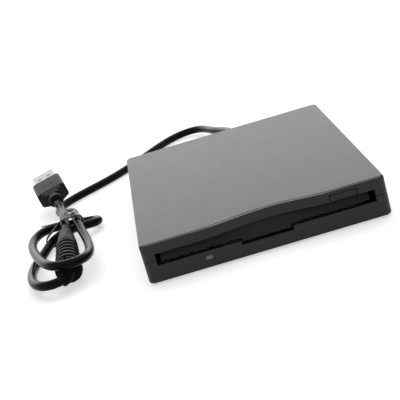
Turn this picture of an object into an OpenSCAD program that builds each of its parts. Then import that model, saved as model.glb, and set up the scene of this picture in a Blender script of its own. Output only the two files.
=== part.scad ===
// External floppy drive with its tied USB lead.
// Millimetres, +Z up, slot towards -Y, origin under the middle of the case.

/* [Case] */
// Width of the case
case_w = 103; // [103:0.5:112]
// Depth of the case, front to back
case_d = 142; // [142:0.5:156]
// Height from the table to the top
case_h = 17.5; // [17.5:0.1:21]
// Height of the case's underside over the table
under_z = 0.8; // [0.6:0.1:1]
// Thickness of the side walls
wall = 1.5; // [1.3:0.1:1.6]
// Thickness of the case's floor and of its top
plate_t = 1.6; // [1.3:0.1:1.6]
// Radius of the upright corners
corner_r = 3; // [2:0.5:4]
// Rounding of the top and bottom edges
edge_r = 0.8; // [0.4:0.1:1]
// Gap in the seams between mouldings
seam = 0.25; // [0.15:0.05:0.3]

/* [Front] */
// Thickness of the lip over the slot
lip_t = 1.4; // [1.2:0.1:1.5]
// How far the finger scoop sets the lip back
scoop_depth = 4; // [3:0.25:4]
// Half the width of the finger scoop
scoop_half = 30; // [24:1:32]
// Sideways place of the scoop's middle
scoop_x = 2; // [-2:0.5:4]
// Clearance beside the disk in the slot
slot_side = 1.2; // [1:0.1:1.4]
// Width of the front's solid ends beside the slot
bezel_side = 5.3; // [5.1:0.1:5.5]
// Height of the slot's lower edge over the table
slot_z = 8; // [7.9:0.05:8.1]
// Height of the slot's top over the top of the disk bay
slot_rise = 0.4; // [0.35:0.05:0.5]
// Depth of the bezel's end posts
post_d = 4.5; // [4:0.1:5]
// Half the width of the notch for the flap's tab
notch_half = 11; // [9:0.5:14]
// Height of the notch's lower edge
notch_z = 6.2; // [5.8:0.1:6.6]

/* [Door flap] */
// Distance of the hinge pins behind the case's front
hinge_in = 6.9; // [6.8:0.1:7.1]
// Height of the hinge pins over the slot's top
hinge_up = 0.8; // [0.75:0.05:0.9]
// Radius of the flap's barrel
barrel_r = 0.9; // [0.8:0.05:0.95]
// Radius of the hinge pins
pin_r = 0.6; // [0.5:0.05:0.65]
// Thickness of the flap
flap_t = 1; // [0.8:0.1:1.1]
// Height of the flap's lower edge over the slot's
flap_up = 0.3; // [0.2:0.1:0.6]
// How far the flap's lower edge stands ahead of its hinge
flap_lean = 3.4; // [3:0.1:3.5]

/* [Eject button] */
// Width of the eject button
button_w = 11; // [9:0.5:12]
// Height of the eject button
button_h = 2.5; // [2.3:0.1:2.6]
// Distance of the button's middle from the slot's end
button_side = 12.7; // [11:0.1:15]
// Gap round the button in its window
button_gap = 0.35; // [0.25:0.05:0.4]
// How far the button comes out when a disk is in
eject_travel = 4.5; // [4:0.25:4.5]

/* [Disk bay] */
// Spindle to the disk's inner end
disk_back = 47; // [46.5:0.25:47.25]
// Height of the bay's floor over the slot's lower edge
bay_step = 0.4; // [0.3:0.05:0.5]
// How far the carrier drops the disk on the spindle
carrier_drop = 2; // [1.8:0.1:2.05]
// Thickness of the sheet metal
sheet_t = 0.5; // [0.4:0.05:0.5]

/* [Chassis] */
// Thickness of the chassis plate
chassis_t = 0.7; // [0.6:0.05:0.75]
// Height of the chassis posts over the case's floor
chassis_post = 0.3; // [0.25:0.05:0.35]
// Clearance between the chassis and the case's side walls
chassis_side = 1.6; // [1.2:0.1:2]
// Front end of the chassis behind the case's front
chassis_in = 17; // [17:0.25:18]
// Rear end of the chassis ahead of the case's rear
chassis_rear = 11; // [10.75:0.25:12]

/* [Spindle] */
// How far the spindle lies ahead of the case's middle
spindle_off = 17; // [16.75:0.25:18]
// Radius of the rotor
rotor_r = 19; // [17:0.25:19]
// Height of the rotor
rotor_h = 1.5; // [1.3:0.1:1.6]
// Radius of the hub that carries the disk
hub_r = 11; // [10:0.5:12]
// Radius of the spindle shaft
shaft_r = 2; // [1.8:0.05:2.1]
// Number of stator coils
coils = 12; // [9:3:12]

/* [Heads] */
// Radius of the disk's innermost track
track_r = 24; // [23.5:0.25:24]
// Travel of the heads over the tracks
head_travel = 14.8; // [14:0.1:14.8]
// Radius of the guide rods
rod_r = 0.8; // [0.7:0.05:0.85]
// Half the distance between the guide rods
rod_half = 13; // [12.5:0.25:13.5]
// Distance of the arm's pivot ahead of the chassis's rear end
pivot_in = 11.7; // [11.4:0.1:12]
// Radius of the lead screw
screw_r = 1.2; // [1:0.05:1.25]
// Clear height left under and over the stepper motor
motor_room = 3; // [2.8:0.1:4]

/* [Lead] */
// Diameter of the lead
cord_d = 4.2; // [3.8:0.1:4.3]
// Length of the gland outside the case
gland_l = 12; // [9:0.5:12]
// Sideways place of the gland
gland_x = 6; // [4:0.5:8]
// Largest radius of the ferrite bead
bead_r = 6.1; // [5.5:0.1:6.2]
// Number of ribs on the bead
bead_ribs = 9; // [6:1:9]
// Width of the plug's moulded body
plug_w = 15.6; // [14.5:0.1:16]
// Thickness of the plug's moulded body
plug_t = 8; // [7:0.1:8.5]
// Length of the plug's moulded body, collar included
plug_l = 23; // [20:0.5:26]

/* [Hidden] */
$fn = 40;

// Overrun of the cuts, and clearances of running, fixed and sliding pieces
over = 1;
run_gap = 0.06;
fit_gap = 0.03;
part_gap = 0.3;

// Colours
black = [0.09, 0.09, 0.1];
soft_black = [0.07, 0.07, 0.07];
steel = [0.72, 0.73, 0.75];
brass = [0.8, 0.66, 0.36];
board_green = [0.1, 0.36, 0.2];
chip_black = [0.12, 0.12, 0.13];
dark_grey = [0.3, 0.3, 0.32];
pale = [0.88, 0.88, 0.86];

// Levels, from the table up to the bay's floor
floor_z = under_z + plate_t;
chassis_z = floor_z + chassis_post;
deck_z = chassis_z + chassis_t;
bay_z = slot_z + bay_step;
loaded_z = bay_z - carrier_drop;

// Levels, from the cover down to the bay's top
shield_gap = 0.4;
lever_t = 0.6;
lever_gap = 0.1;
cover_z = case_h - plate_t;
shield_z = cover_z - shield_gap - sheet_t;
slide_top = shield_z - part_gap;
slide_z = slide_top - sheet_t;
lever_top = slide_z - part_gap;
lever_z = lever_top - lever_t;
carrier_top = lever_z - lever_gap;
bay_top = carrier_top - sheet_t;
bay_h = bay_top - bay_z;

// Levels of the front
split_share = 0.43;
slot_top = bay_top + slot_rise;
split_z = slot_z + split_share * (slot_top - slot_z);
hinge_z = slot_top + hinge_up;
flap_z = slot_z + flap_up;

// Places along the case
carrier_tail = 10;
front = -case_d / 2;
back = case_d / 2;
spin_y = -spindle_off;
chassis_front = front + chassis_in;
chassis_back = back - chassis_rear;
sheet_front = chassis_front + sheet_t;
hinge_y = front + hinge_in;
bay_back = spin_y + disk_back;
carrier_back = bay_back + carrier_tail;

// Places across the case
rail_reach = 5;
case_in = case_w / 2 - wall;
slot_half = case_w / 2 - bezel_side;
disk_w = 2 * (slot_half - slot_side);
button_x = slot_half - button_side;
chassis_half = case_in - chassis_side;
side_in = chassis_half - chassis_t;
slide_half = side_in - part_gap;
carrier_half = slide_half - sheet_t - part_gap;
rail_in = disk_w / 2 - rail_reach;

// Box between a low and a high value on each axis
module span(x, y, z) {
    translate([x[0], y[0], z[0]]) cube([x[1] - x[0], y[1] - y[0], z[1] - z[0]]);
}

// Copies on both sides of the middle plane
module both() {
    children();
    mirror([1, 0, 0]) children();
}

// Upright cylinder between two heights
module post(x, y, z, r) {
    translate([x, y, z[0]]) cylinder(r = r, h = z[1] - z[0]);
}

// Cylinder along X between two places
module bar_x(x, y, z, r) {
    translate([x[0], y, z]) rotate([0, 90, 0]) cylinder(r = r, h = x[1] - x[0]);
}

// Cylinder along Y between two places
module bar_y(x, y, z, r) {
    translate([x, y[0], z]) rotate([-90, 0, 0]) cylinder(r = r, h = y[1] - y[0]);
}

// Tube over centres, with a direction and a radius at each of them
module sweep(pts, dirs, radii, sides) {
    n = len(pts);
    rings = [for (i = [0:n - 1]) let (
            s = cross(dirs[i], [0, 0, 1]) / norm(cross(dirs[i], [0, 0, 1])),
            u = cross(s, dirs[i]))
        for (k = [0:sides - 1]) pts[i]
            + radii[i] * (cos(360 * k / sides) * s + sin(360 * k / sides) * u)];
    walls = [for (i = [0:n - 2], k = [0:sides - 1]) let (
            a = i * sides + k, b = i * sides + (k + 1) % sides)
        each [[a, a + sides, b], [b, a + sides, b + sides]]];
    near = [for (k = [1:sides - 2]) [0, k, k + 1]];
    last = (n - 1) * sides;
    far = [for (k = [1:sides - 2]) [last, last + k + 1, last + k]];
    polyhedron(rings, concat(walls, near, far), convexity = 10);
}

// Coil spring along +Z: mean radius, wire radius, turns and length
curl_rings = 8;
wire_sides = 6;
module coil(r, wire, turns, l) {
    n = round(curl_rings * turns);
    run = 2 * PI * r * turns;
    angles = [for (i = [0:n]) 360 * turns * i / n];
    sweep([for (i = [0:n]) [r * cos(angles[i]), r * sin(angles[i]), l * i / n]],
        [for (a = angles) [-run * sin(a), run * cos(a), l] / norm([run, l])],
        [for (a = angles) wire], wire_sides);
}

// Case

// Outline of the case's inside or outside, drawn in by an inset
module outline(inset) {
    r = corner_r - inset;
    w = case_w / 2 - inset;
    d = case_d / 2 - inset;
    square([2 * (w - r), 2 * d], center = true);
    square([2 * w, 2 * (d - r)], center = true);
    for (x = [r - w, w - r], y = [r - d, d - r]) translate([x, y]) circle(r = r);
}

// Upright section from the middle to the outer face, with its edges rounded
module edge_section(w, h, low, high) {
    square([w - max(low, high), h]);
    translate([0, low]) square([w, h - low - high]);
    if (low > 0) translate([w - low, low]) circle(r = low);
    if (high > 0) translate([w - high, h - high]) circle(r = high);
}

module edge_prism(w, l, h, low, high) {
    translate([0, 0, -l]) linear_extrude(2 * l) {
        edge_section(w, h, low, high);
        mirror([1, 0]) edge_section(w, h, low, high);
    }
}

// Solid of the case between two heights, rounded where it has an outer edge
module case_block(z) {
    low = z[0] < split_z ? edge_r : 0;
    high = z[1] > split_z ? edge_r : 0;
    h = z[1] - z[0];
    w = case_w / 2;
    d = case_d / 2;
    translate([0, 0, z[0]]) {
        for (x = [corner_r - w, w - corner_r], y = [corner_r - d, d - corner_r])
            translate([x, y, 0]) rotate_extrude() edge_section(corner_r, h, low, high);
        rotate([90, 0, 0]) edge_prism(w, d - corner_r, h, low, high);
        rotate([90, 0, 90]) edge_prism(d, w - corner_r, h, low, high);
    }
}

// Finger scoop: how far the front is set back at a sideways place
scoop_steps = 24;
function scoop(x) = abs(x - scoop_x) >= scoop_half ? 0
    : scoop_depth * (1 + cos(180 * (x - scoop_x) / scoop_half)) / 2;
wide = case_w / 2 + over;
scoop_xs = concat([-wide],
    [for (i = [0:scoop_steps]) scoop_x + scoop_half * (2 * i / scoop_steps - 1)], [wide]);
function scoop_line(off) = [for (x = scoop_xs) [x, front + scoop(x) + off]];
scoop_face = [for (x = scoop_xs) [x, front + (scoop(x) > 0 ? scoop(x) : -over)]];

// Everything behind a front line, between two heights
module behind(line, z) {
    translate([0, 0, z[0]]) linear_extrude(z[1] - z[0])
        polygon(concat(line, [[wide, back + over], [-wide, back + over]]));
}

// Screw bosses at the case's corners: place and radius
front_boss_side = 4.1;
front_boss_in = 10.4;
front_boss_r = 2.1;
rear_boss_side = 5.5;
rear_boss_in = 7;
rear_boss_r = 2.6;
front_boss = [case_w / 2 - front_boss_side, front + front_boss_in, front_boss_r];
rear_boss = [case_w / 2 - rear_boss_side, back - rear_boss_in, rear_boss_r];
case_bosses = [front_boss, rear_boss];

// Screws of the case, and how far they reach into the cover
screw_shaft_r = 1;
screw_head_r = 1.7;
screw_head_h = 1.2;
screw_reach = 3.4;

// Hole of the gland in the rear wall, on the parting line
gland_z = split_z;
gland_neck_r = 3.2;
gland_flange_r = 4;
module gland_hole() {
    bar_y(gland_x, [back - wall - over, back + over], gland_z, gland_neck_r + fit_gap);
}

module top_cover() {
    color(black) difference() {
        union() {
            difference() {
                case_block([split_z, case_h]);
                translate([0, 0, split_z - over]) linear_extrude(cover_z - split_z + over)
                    outline(wall);
            }
            for (b = case_bosses) both() post(b[0], b[1], [split_z, cover_z + fit_gap], b[2]);
        }
        // Room for the bezel's end posts and for its lip
        span([-wide, wide], [front - over, front + post_d + seam], [split_z - over, cover_z]);
        difference() {
            span([-wide, wide], [front - over, spin_y], [split_z - over, case_h + over]);
            behind(scoop_line(lip_t + seam), [split_z - 2 * over, case_h + 2 * over]);
        }
        for (b = case_bosses) both()
            post(b[0], b[1], [split_z - over, split_z + screw_reach + seam],
                screw_shaft_r + fit_gap);
        gland_hole();
    }
}

// Rubber feet
foot_r = 4;
foot_h = 1.2;
foot_side = 11.5;
foot_in = 13;
foot_at = [case_w / 2 - foot_side, case_d / 2 - foot_in];

// Lens of the lamp in the front wall
lens_w = 2.8;
lens_h = 1.6;
lens_l = 4.4;
lens_z = 5.2;
lens_side = 21;
lens_x = lens_side - slot_half;

// Posts for the chassis, the USB board and the lamp's board
inner_screw_r = 0.8;
inner_head_r = 1.6;
inner_head_h = 0.7;
chassis_post_r = 3;
board_post_r = 2;
board_t = 1;

module bottom_case() {
    color(black) difference() {
        union() {
            difference() {
                case_block([under_z, split_z]);
                translate([0, 0, floor_z]) linear_extrude(split_z) outline(wall);
            }
            for (b = case_bosses) both() post(b[0], b[1], [floor_z - fit_gap, split_z], b[2]);
            for (p = chassis_posts) both()
                post(p[0], p[1], [floor_z - fit_gap, chassis_z], chassis_post_r);
            both() post(usb_post[0], usb_post[1], [floor_z - fit_gap, usb_z], board_post_r);
            for (x = lamp_post_xs) post(x, lamp_post_y, [floor_z - fit_gap, lamp_z], board_post_r);
        }
        // Slot, and the notch for the flap's tab
        span([-slot_half, slot_half], [front - over, front + wall + over],
            [slot_z, split_z + over]);
        span([-notch_half, notch_half], [front - over, front + wall + over],
            [notch_z, split_z + over]);
        span([lens_x - lens_w / 2, lens_x + lens_w / 2], [front - over, front + wall + over],
            [lens_z - lens_h / 2, lens_z + lens_h / 2]);
        for (b = case_bosses) both() {
            post(b[0], b[1], [under_z - over, split_z + over], screw_shaft_r + seam / 2);
            post(b[0], b[1], [under_z - over, under_z + screw_head_h + seam],
                screw_head_r + seam / 2);
        }
        for (p = chassis_posts) both()
            post(p[0], p[1], [screw_pit, chassis_z + over], inner_screw_r + fit_gap);
        both() post(usb_post[0], usb_post[1], [screw_pit, usb_z + over],
            inner_screw_r + fit_gap);
        for (y = [-foot_at[1], foot_at[1]]) both()
            post(foot_at[0], y, [under_z - over, foot_h], foot_r);
        gland_hole();
    }
}

// Front bezel: the lip over the slot, two end posts and the flap's ears
button_low = slot_top + button_gap / 4;
button_top = button_low + button_h;
button_span = [button_x - button_w / 2, button_x + button_w / 2];
ear_t = 1.6;
ear_r = 1.5;
ear_gap = 0.4;

module front_bezel() {
    color(black) difference() {
        union() {
            intersection() {
                case_block([split_z, case_h]);
                difference() {
                    behind(scoop_face, [split_z - over, case_h + over]);
                    behind(scoop_line(lip_t), [split_z - 2 * over, case_h + 2 * over]);
                }
            }
            intersection() {
                case_block([split_z, case_h]);
                both() span([slot_half, wide], [front - over, front + post_d],
                    [split_z - over, cover_z - seam]);
            }
            both() {
                bar_x([slot_half - ear_t, slot_half], hinge_y, hinge_z, ear_r);
                span([slot_half - ear_t, slot_half + ear_t], [front + lip_t - seam, hinge_y],
                    [hinge_z - ear_r, hinge_z + ear_r]);
            }
        }
        span([-slot_half, slot_half], [front - over, front + lip_t + scoop_depth],
            [split_z - over, slot_top]);
        both() bar_x([slot_half - ear_t - over, slot_half], hinge_y, hinge_z, pin_r + run_gap);
        both() post(front_boss[0], front_boss[1], [split_z - over, case_h - plate_t],
            front_boss_r + seam);
        span([button_span[0] - button_gap, button_span[1] + button_gap],
            [front - over, front + lip_t + scoop_depth], [slot_top - over, button_top + button_gap]);
    }
}

// Door flap and its spring
flap_half = slot_half - ear_t - ear_gap;
tab_gap = 0.6;
tab_half = notch_half - tab_gap;
tab_z = notch_z + tab_gap;
flap_slope = flap_lean / (hinge_z - flap_z);
door_wire = 0.18;
door_turns = 4;
door_coil_l = 2.6;
door_coil_r = barrel_r + door_wire + part_gap;

// Flap from its hinge down to a height, within a half width
module flap_panel(half, z) {
    drop = hinge_z - z;
    translate([-half, hinge_y, hinge_z]) rotate([90, 0, 90]) linear_extrude(2 * half)
        polygon([[flap_t - barrel_r, 0], [-barrel_r, 0],
            [-flap_slope * drop, -drop], [flap_t - flap_slope * drop, -drop]]);
}

module door_flap() {
    color(soft_black) difference() {
        union() {
            flap_panel(flap_half, flap_z);
            flap_panel(tab_half, tab_z);
            bar_x([-flap_half, flap_half], hinge_y, hinge_z, barrel_r);
            bar_x([seam - slot_half, slot_half - seam], hinge_y, hinge_z, pin_r);
        }
        // Room for the spring round the barrel
        translate([seam - flap_half, hinge_y, hinge_z]) rotate([0, 90, 0]) difference() {
            cylinder(r = door_coil_r + 2 * door_wire, h = door_coil_l + 2 * seam);
            translate([0, 0, -over]) cylinder(r = barrel_r, h = door_coil_l + 2 * over);
        }
    }
}

module door_spring() {
    color(steel) translate([2 * seam - flap_half, hinge_y, hinge_z]) rotate([0, 90, 0])
        coil(door_coil_r, door_wire, door_turns, door_coil_l);
}

// Eject button, with fine ribs across its face
button_ribs = 9;
rib_cut = 0.18;
rib_end = 0.35;
button_tail = 1.2;
button_back = hinge_y - barrel_r - button_tail;

module eject_button() {
    face_y = front + seam / 2;
    color(black) difference() {
        span(button_span, [face_y, button_back], [button_low, button_top]);
        for (i = [1:button_ribs])
            translate([button_span[0] + i * button_w / (button_ribs + 1), face_y, button_low])
                translate([0, 0, -over]) cylinder(r = rib_cut, h = button_h + over - rib_end, $fn = 6);
    }
}

module led_lens() {
    color(pale) span([lens_x - lens_w / 2 + fit_gap, lens_x + lens_w / 2 - fit_gap],
        [front + seam / 4, front + lens_l],
        [lens_z - lens_h / 2 + fit_gap, lens_z + lens_h / 2 - fit_gap]);
}

module rubber_feet() {
    color(soft_black) for (y = [-foot_at[1], foot_at[1]]) both()
        post(foot_at[0], y, [0, foot_h], foot_r - fit_gap);
}

// Screw with its head down and a cross recess in it
cross_share = 0.6;
module screw(head_r, head_h, shaft, length) {
    difference() {
        union() {
            cylinder(r = head_r, h = head_h);
            translate([0, 0, head_h]) cylinder(r = shaft, h = length);
        }
        for (a = [0, 90]) rotate(a)
            translate([-head_r * cross_share, -head_r * cross_share / 4, -over])
                cube([2 * head_r * cross_share, head_r * cross_share / 2,
                    over + head_h * cross_share]);
    }
}

module case_screws() {
    head_z = under_z + seam;
    color(steel) for (b = case_bosses) both() translate([b[0], b[1], head_z])
        screw(screw_head_r, screw_head_h, screw_shaft_r,
            split_z + screw_reach - head_z - screw_head_h);
}

// Chassis, with walls at its sides and a low one at its rear
pin_front = 18;
pin_rear = 8;
pin_share = 0.6;
carrier_pin_r = 0.8;
pin_ys = [chassis_front + pin_front, bay_back - pin_rear];
pin_z = bay_z + pin_share * bay_h;
window_w = 14;
window_l = 10;
window_x = 30;
window_gap = 6;

// Slot with round ends in a wall across X: start, climb and travel
module slot_x(x, y, z, climb, travel, r) {
    translate([x[0], y, z]) rotate([90, 0, 90]) linear_extrude(x[1] - x[0])
        rotate(atan2(climb, travel)) {
            circle(r = r);
            translate([norm([climb, travel]), 0]) circle(r = r);
            translate([0, -r]) square([norm([climb, travel]), 2 * r]);
        }
}

module chassis() {
    color(steel) difference() {
        union() {
            span([-chassis_half, chassis_half], [chassis_front, chassis_back],
                [chassis_z, deck_z]);
            both() span([side_in, chassis_half], [chassis_front, chassis_back],
                [chassis_z, shield_z]);
            span([-side_in, side_in], [chassis_back - chassis_t, chassis_back],
                [chassis_z, bay_z]);
            for (p = main_posts) post(p[0], p[1], [deck_z - fit_gap, main_z], main_post_r);
        }
        post(0, spin_y, [chassis_z - over, deck_z + over], bush_r);
        for (y = pin_ys) both()
            slot_x([side_in - over, chassis_half + over], y, pin_z - carrier_drop - seam,
                shield_z - pin_z + carrier_drop, 0, carrier_pin_r + part_gap);
        for (p = chassis_posts) both()
            post(p[0], p[1], [chassis_z - over, deck_z + over], inner_screw_r + seam / 2);
        span([cable_x - cable_gap, cable_x + cable_w + cable_gap],
            [chassis_back - 2 * over, chassis_back + over], [cable_z - over, bay_z + over]);
        for (x = [-window_x, window_x]) span([x - window_w / 2, x + window_w / 2],
            [spin_y + rotor_r + window_gap, spin_y + rotor_r + window_gap + window_l],
            [chassis_z - over, deck_z + over]);
    }
}

module chassis_screws() {
    color(steel) {
        for (p = chassis_posts) both() inner_screw(p, deck_z);
        both() inner_screw(usb_post, usb_z + board_t);
    }
}

module inner_screw(p, seat) {
    translate([p[0], p[1], seat + inner_head_h]) mirror([0, 0, 1])
        screw(inner_head_r, inner_head_h, inner_screw_r, seat - screw_pit - seam);
}

// Shield over the mechanism
skirt_gap = 0.05;
skirt_up = 0.8;
skirt_z = split_z + skirt_up;
vent = [16, 9];
vent_x = 17;
vent_in = 14;

module shield_cover() {
    outer = chassis_half + skirt_gap + sheet_t;
    color(steel) difference() {
        span([-outer, outer], [sheet_front, chassis_back], [skirt_z, shield_z + sheet_t]);
        span([sheet_t - outer, outer - sheet_t], [sheet_front - over, chassis_back + over],
            [skirt_z - over, shield_z]);
        both() span([vent_x, vent_x + vent[0]],
            [chassis_back - vent_in, chassis_back - vent_in + vent[1]],
            [shield_z - over, shield_z + sheet_t + over]);
    }
}

// Disk carrier, which drops with the disk
window_half = 9;
head_window = 4;
lever_side = 10.6;
lever_in = 6;
lever_l = 24;
lever_rest = -60;
lever_swing = 48;
lever_pin_r = 1.3;
lever_hub_r = 2.6;
pivot_r = 1.1;
lever_at = [lever_side - carrier_half, bay_back + lever_in];

// Arc-shaped slot with round ends that the lever's pin runs in
arc_step = 6;
arc_end_step = 30;
module lever_arc(r, z) {
    low = lever_rest;
    high = lever_rest + lever_swing;
    translate([lever_at[0], lever_at[1], z[0]]) linear_extrude(z[1] - z[0]) polygon([
        for (a = [low:arc_step:high]) (lever_l + r) * [cos(a), sin(a)],
        for (a = [high + arc_end_step:arc_end_step:high + 180])
            lever_l * [cos(high), sin(high)] + r * [cos(a), sin(a)],
        for (a = [high - arc_step:-arc_step:low]) (lever_l - r) * [cos(a), sin(a)],
        for (a = [low + 180 + arc_end_step:arc_end_step:low + 360 - arc_end_step])
            lever_l * [cos(low), sin(low)] + r * [cos(a), sin(a)]]);
}

module disk_carrier() {
    sides = [carrier_half - sheet_t, carrier_half];
    color(steel) difference() {
        union() {
            span([-carrier_half, carrier_half], [sheet_front, carrier_back],
                [bay_top, carrier_top]);
            both() {
                span(sides, [sheet_front, carrier_back], [bay_z - sheet_t, carrier_top]);
                span([rail_in, carrier_half], [sheet_front, bay_back], [bay_z - sheet_t, bay_z]);
                for (y = pin_ys)
                    bar_x([sides[0], chassis_half - run_gap], y, pin_z, carrier_pin_r);
            }
            post(lever_at[0], lever_at[1], [bay_top, lever_top + lever_gap], pivot_r);
        }
        span([-window_half, window_half], [spin_y + rotor_r - head_window, carrier_back + over],
            [bay_top - over, carrier_top + over]);
        lever_arc(lever_pin_r + part_gap, [bay_top - over, carrier_top + over]);
        post(0, spin_y, [bay_top - over, carrier_top + over], hub_r);
    }
}

// Eject slide, with cam slots in its side walls and an arm to the button
strip_w = 9.3;
cross_l = 6.5;
slide_short = 2;
arm_half = 2.6;
arm_t = 0.6;
arm_overlap = 1.5;
hook = 1.6;
hook_in = 4;
strip_in = slide_half - strip_w;
joggle = 1;
joggle_y = chassis_front - joggle;
cross_back = sheet_front + cross_l;
slide_back = carrier_back - slide_short;
spring_y = cross_back + hook_in;

module eject_slide() {
    arm = [button_x - arm_half, button_x + arm_half];
    color(steel) difference() {
        union() {
            span([-slide_half, slide_half], [sheet_front, cross_back], [slide_z, slide_top]);
            both() {
                span([strip_in, slide_half], [sheet_front, slide_back], [slide_z, slide_top]);
                span([slide_half - sheet_t, slide_half], [sheet_front, slide_back],
                    [deck_z + part_gap, slide_top]);
                span([strip_in - hook, strip_in], [spring_y - hook, spring_y],
                    [slide_z, slide_top]);
            }
            span(arm, [joggle_y, joggle_y + arm_overlap], [slide_z, slide_top]);
            span(arm, [joggle_y, joggle_y + sheet_t], [slide_z, button_top]);
            span(arm, [button_back, joggle_y + sheet_t], [button_top - arm_t, button_top]);
        }
        for (y = pin_ys) both()
            slot_x([slide_half - sheet_t - over, slide_half + over], y, pin_z, -carrier_drop,
                eject_travel, carrier_pin_r + run_gap);
    }
}

// Springs that draw the slide forward
spring_l = 16;
spring_turns = 8;
spring_r = 0.45;
spring_wire = 0.15;

module slide_springs() {
    color(steel) both()
        translate([strip_in - hook / 2, spring_y + spring_wire, slide_z])
            rotate([-90, 0, 0]) coil(spring_r, spring_wire, spring_turns, spring_l);
}

// Trigger lever, turned by the disk's inner end
lever_w = 3.2;
module trigger_lever() {
    color(steel) translate([lever_at[0], lever_at[1], 0]) rotate(lever_rest) difference() {
        union() {
            post(0, 0, [lever_z, lever_top], lever_hub_r);
            span([0, lever_l], [-lever_w / 2, lever_w / 2], [lever_z, lever_top]);
            post(lever_l, 0, [bay_z + bay_h / 2, lever_top], lever_pin_r);
        }
        post(0, 0, [lever_z - over, lever_top + over], pivot_r + run_gap);
    }
}

clip_r = 1.8;
clip_t = 0.2;
module lever_clip() {
    clip_z = lever_top + lever_gap;
    color(brass) post(lever_at[0], lever_at[1], [clip_z, clip_z + clip_t], clip_r);
}

lever_wire = 0.12;
lever_spring_r = 1.2;
lever_spring_l = 0.42;
lever_turns = 1.5;
module lever_spring() {
    color(steel) translate([lever_at[0], lever_at[1],
            lever_top + lever_gap + clip_t + lever_wire + run_gap])
        coil(lever_spring_r, lever_wire, lever_turns, lever_spring_l);
}

// Spindle
bush_r = 4.5;
rotor_wall = 1.2;
rotor_disc = 0.5;
rotor_hole_r = 1.4;
rotor_gap = 0.2;
hub_h = 1.3;
shaft_low = 0.2;
drive_at = 8;
drive_r = 1;
spindle_board_side = 9;
spindle_board_in = 6;
spindle_board_back = 1;
coil_h = 0.9;
coil_hole_r = 1;
coil_in = 3.6;
rotor_top = loaded_z - rotor_gap;
hub_top = rotor_top + hub_h;
shaft_top = bay_z - part_gap;

module spindle_board() {
    half = rail_in - spindle_board_side;
    color(board_green) difference() {
        span([-half, half], [chassis_front + spindle_board_in,
            spin_y + rotor_r - spindle_board_back], [deck_z, deck_z + board_t]);
        post(0, spin_y, [deck_z - over, deck_z + board_t + over], bush_r + seam);
    }
}

module stator_coils() {
    mid = rotor_r - rotor_wall - coil_in;
    color(brass) for (i = [0:coils - 1]) translate([0, spin_y, deck_z + board_t])
        rotate(360 * i / coils) translate([mid, 0, 0]) difference() {
            cylinder(r = mid * sin(180 / coils) - seam, h = coil_h);
            translate([0, 0, -over]) cylinder(r = coil_hole_r, h = 2 * over + coil_h);
        }
}

module spindle_bush() {
    color(brass) difference() {
        post(0, spin_y, [chassis_z, rotor_top - rotor_disc - part_gap], bush_r - fit_gap);
        post(0, spin_y, [chassis_z - over, rotor_top], shaft_r + fit_gap);
    }
}

module spindle_rotor() {
    rim_z = rotor_top - rotor_h;
    color(steel) difference() {
        post(0, spin_y, [rim_z, rotor_top], rotor_r);
        post(0, spin_y, [rim_z - over, rotor_top - rotor_disc], rotor_r - rotor_wall);
        post(0, spin_y, [rim_z - over, rotor_top + over], shaft_r);
        for (a = [45:90:315]) translate([0, spin_y, rotor_top - over]) rotate(a)
            translate([(hub_r + rotor_r - rotor_wall) / 2, 0, 0])
                cylinder(r = rotor_hole_r, h = 2 * over);
    }
}

module spindle_hub() {
    color([0.55, 0.55, 0.58]) {
        difference() {
            post(0, spin_y, [rotor_top, hub_top], hub_r);
            post(drive_at, spin_y, [rotor_top - over, hub_top + over], drive_r + fit_gap);
        }
        post(0, spin_y, [floor_z + shaft_low, shaft_top], shaft_r);
    }
}

module drive_pin() {
    color(brass) post(drive_at, spin_y, [rotor_top, shaft_top], drive_r);
}

// Heads, on a carriage that runs on two rods
rod_up = 1.5;
rod_in = 4;
rod_gap = 1.5;
sleeve_t = 0.5;
base_drop = 0.4;
nose_half = 5;
nose_l = 4;
base_l = 8;
tower_half = 8;
tower_tail = 1.7;
tower_l = 4.5;
head_half = 2.2;
head_l = 5.2;
head_gap = 0.15;
pivot_drop = 0.2;
head_arm_t = 0.9;
arm_barrel_half = 5.5;
arm_barrel_r = 1.2;
arm_pin_r = 0.7;
arm_tip_half = 3.5;
arm_tip_l = 0.8;
arm_root_l = 9;
arm_tab_at = 11.3;
arm_tab_l = 1.6;
arm_tab_reach = 3.4;
nut_l = 2.5;
nut_in = 1;
nut_edge = 2;
screw_x = 22;
motor_low = 0.4;
shaft_in = 1;
flag = [0.4, 1.5];
flag_side = 4.6;
flag_in = 3;
flag_up = 3.4;
head_y = spin_y + track_r + head_travel;
pivot_y = chassis_back - pivot_in;
pivot_z = carrier_top - pivot_drop;
arm_low = carrier_top + head_gap;
tower_back = pivot_y + tower_tail;
tower_front = tower_back - tower_l;
rod_z = deck_z + rod_up;
sleeve_r = rod_r + sleeve_t;
base_z = [rod_z - sleeve_r, rod_z + sleeve_r - base_drop];
rod_y = [spin_y + rotor_r + rod_gap, chassis_back - rod_in];
motor_r = (shield_z - deck_z - motor_room) / 2;
screw_z = deck_z + motor_low + motor_r;
nut_y = [tower_back - nut_in - nut_l, tower_back - nut_in];
motor_y = [tower_back, chassis_back - chassis_t];
arm_gap_half = arm_barrel_half + seam;

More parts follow.
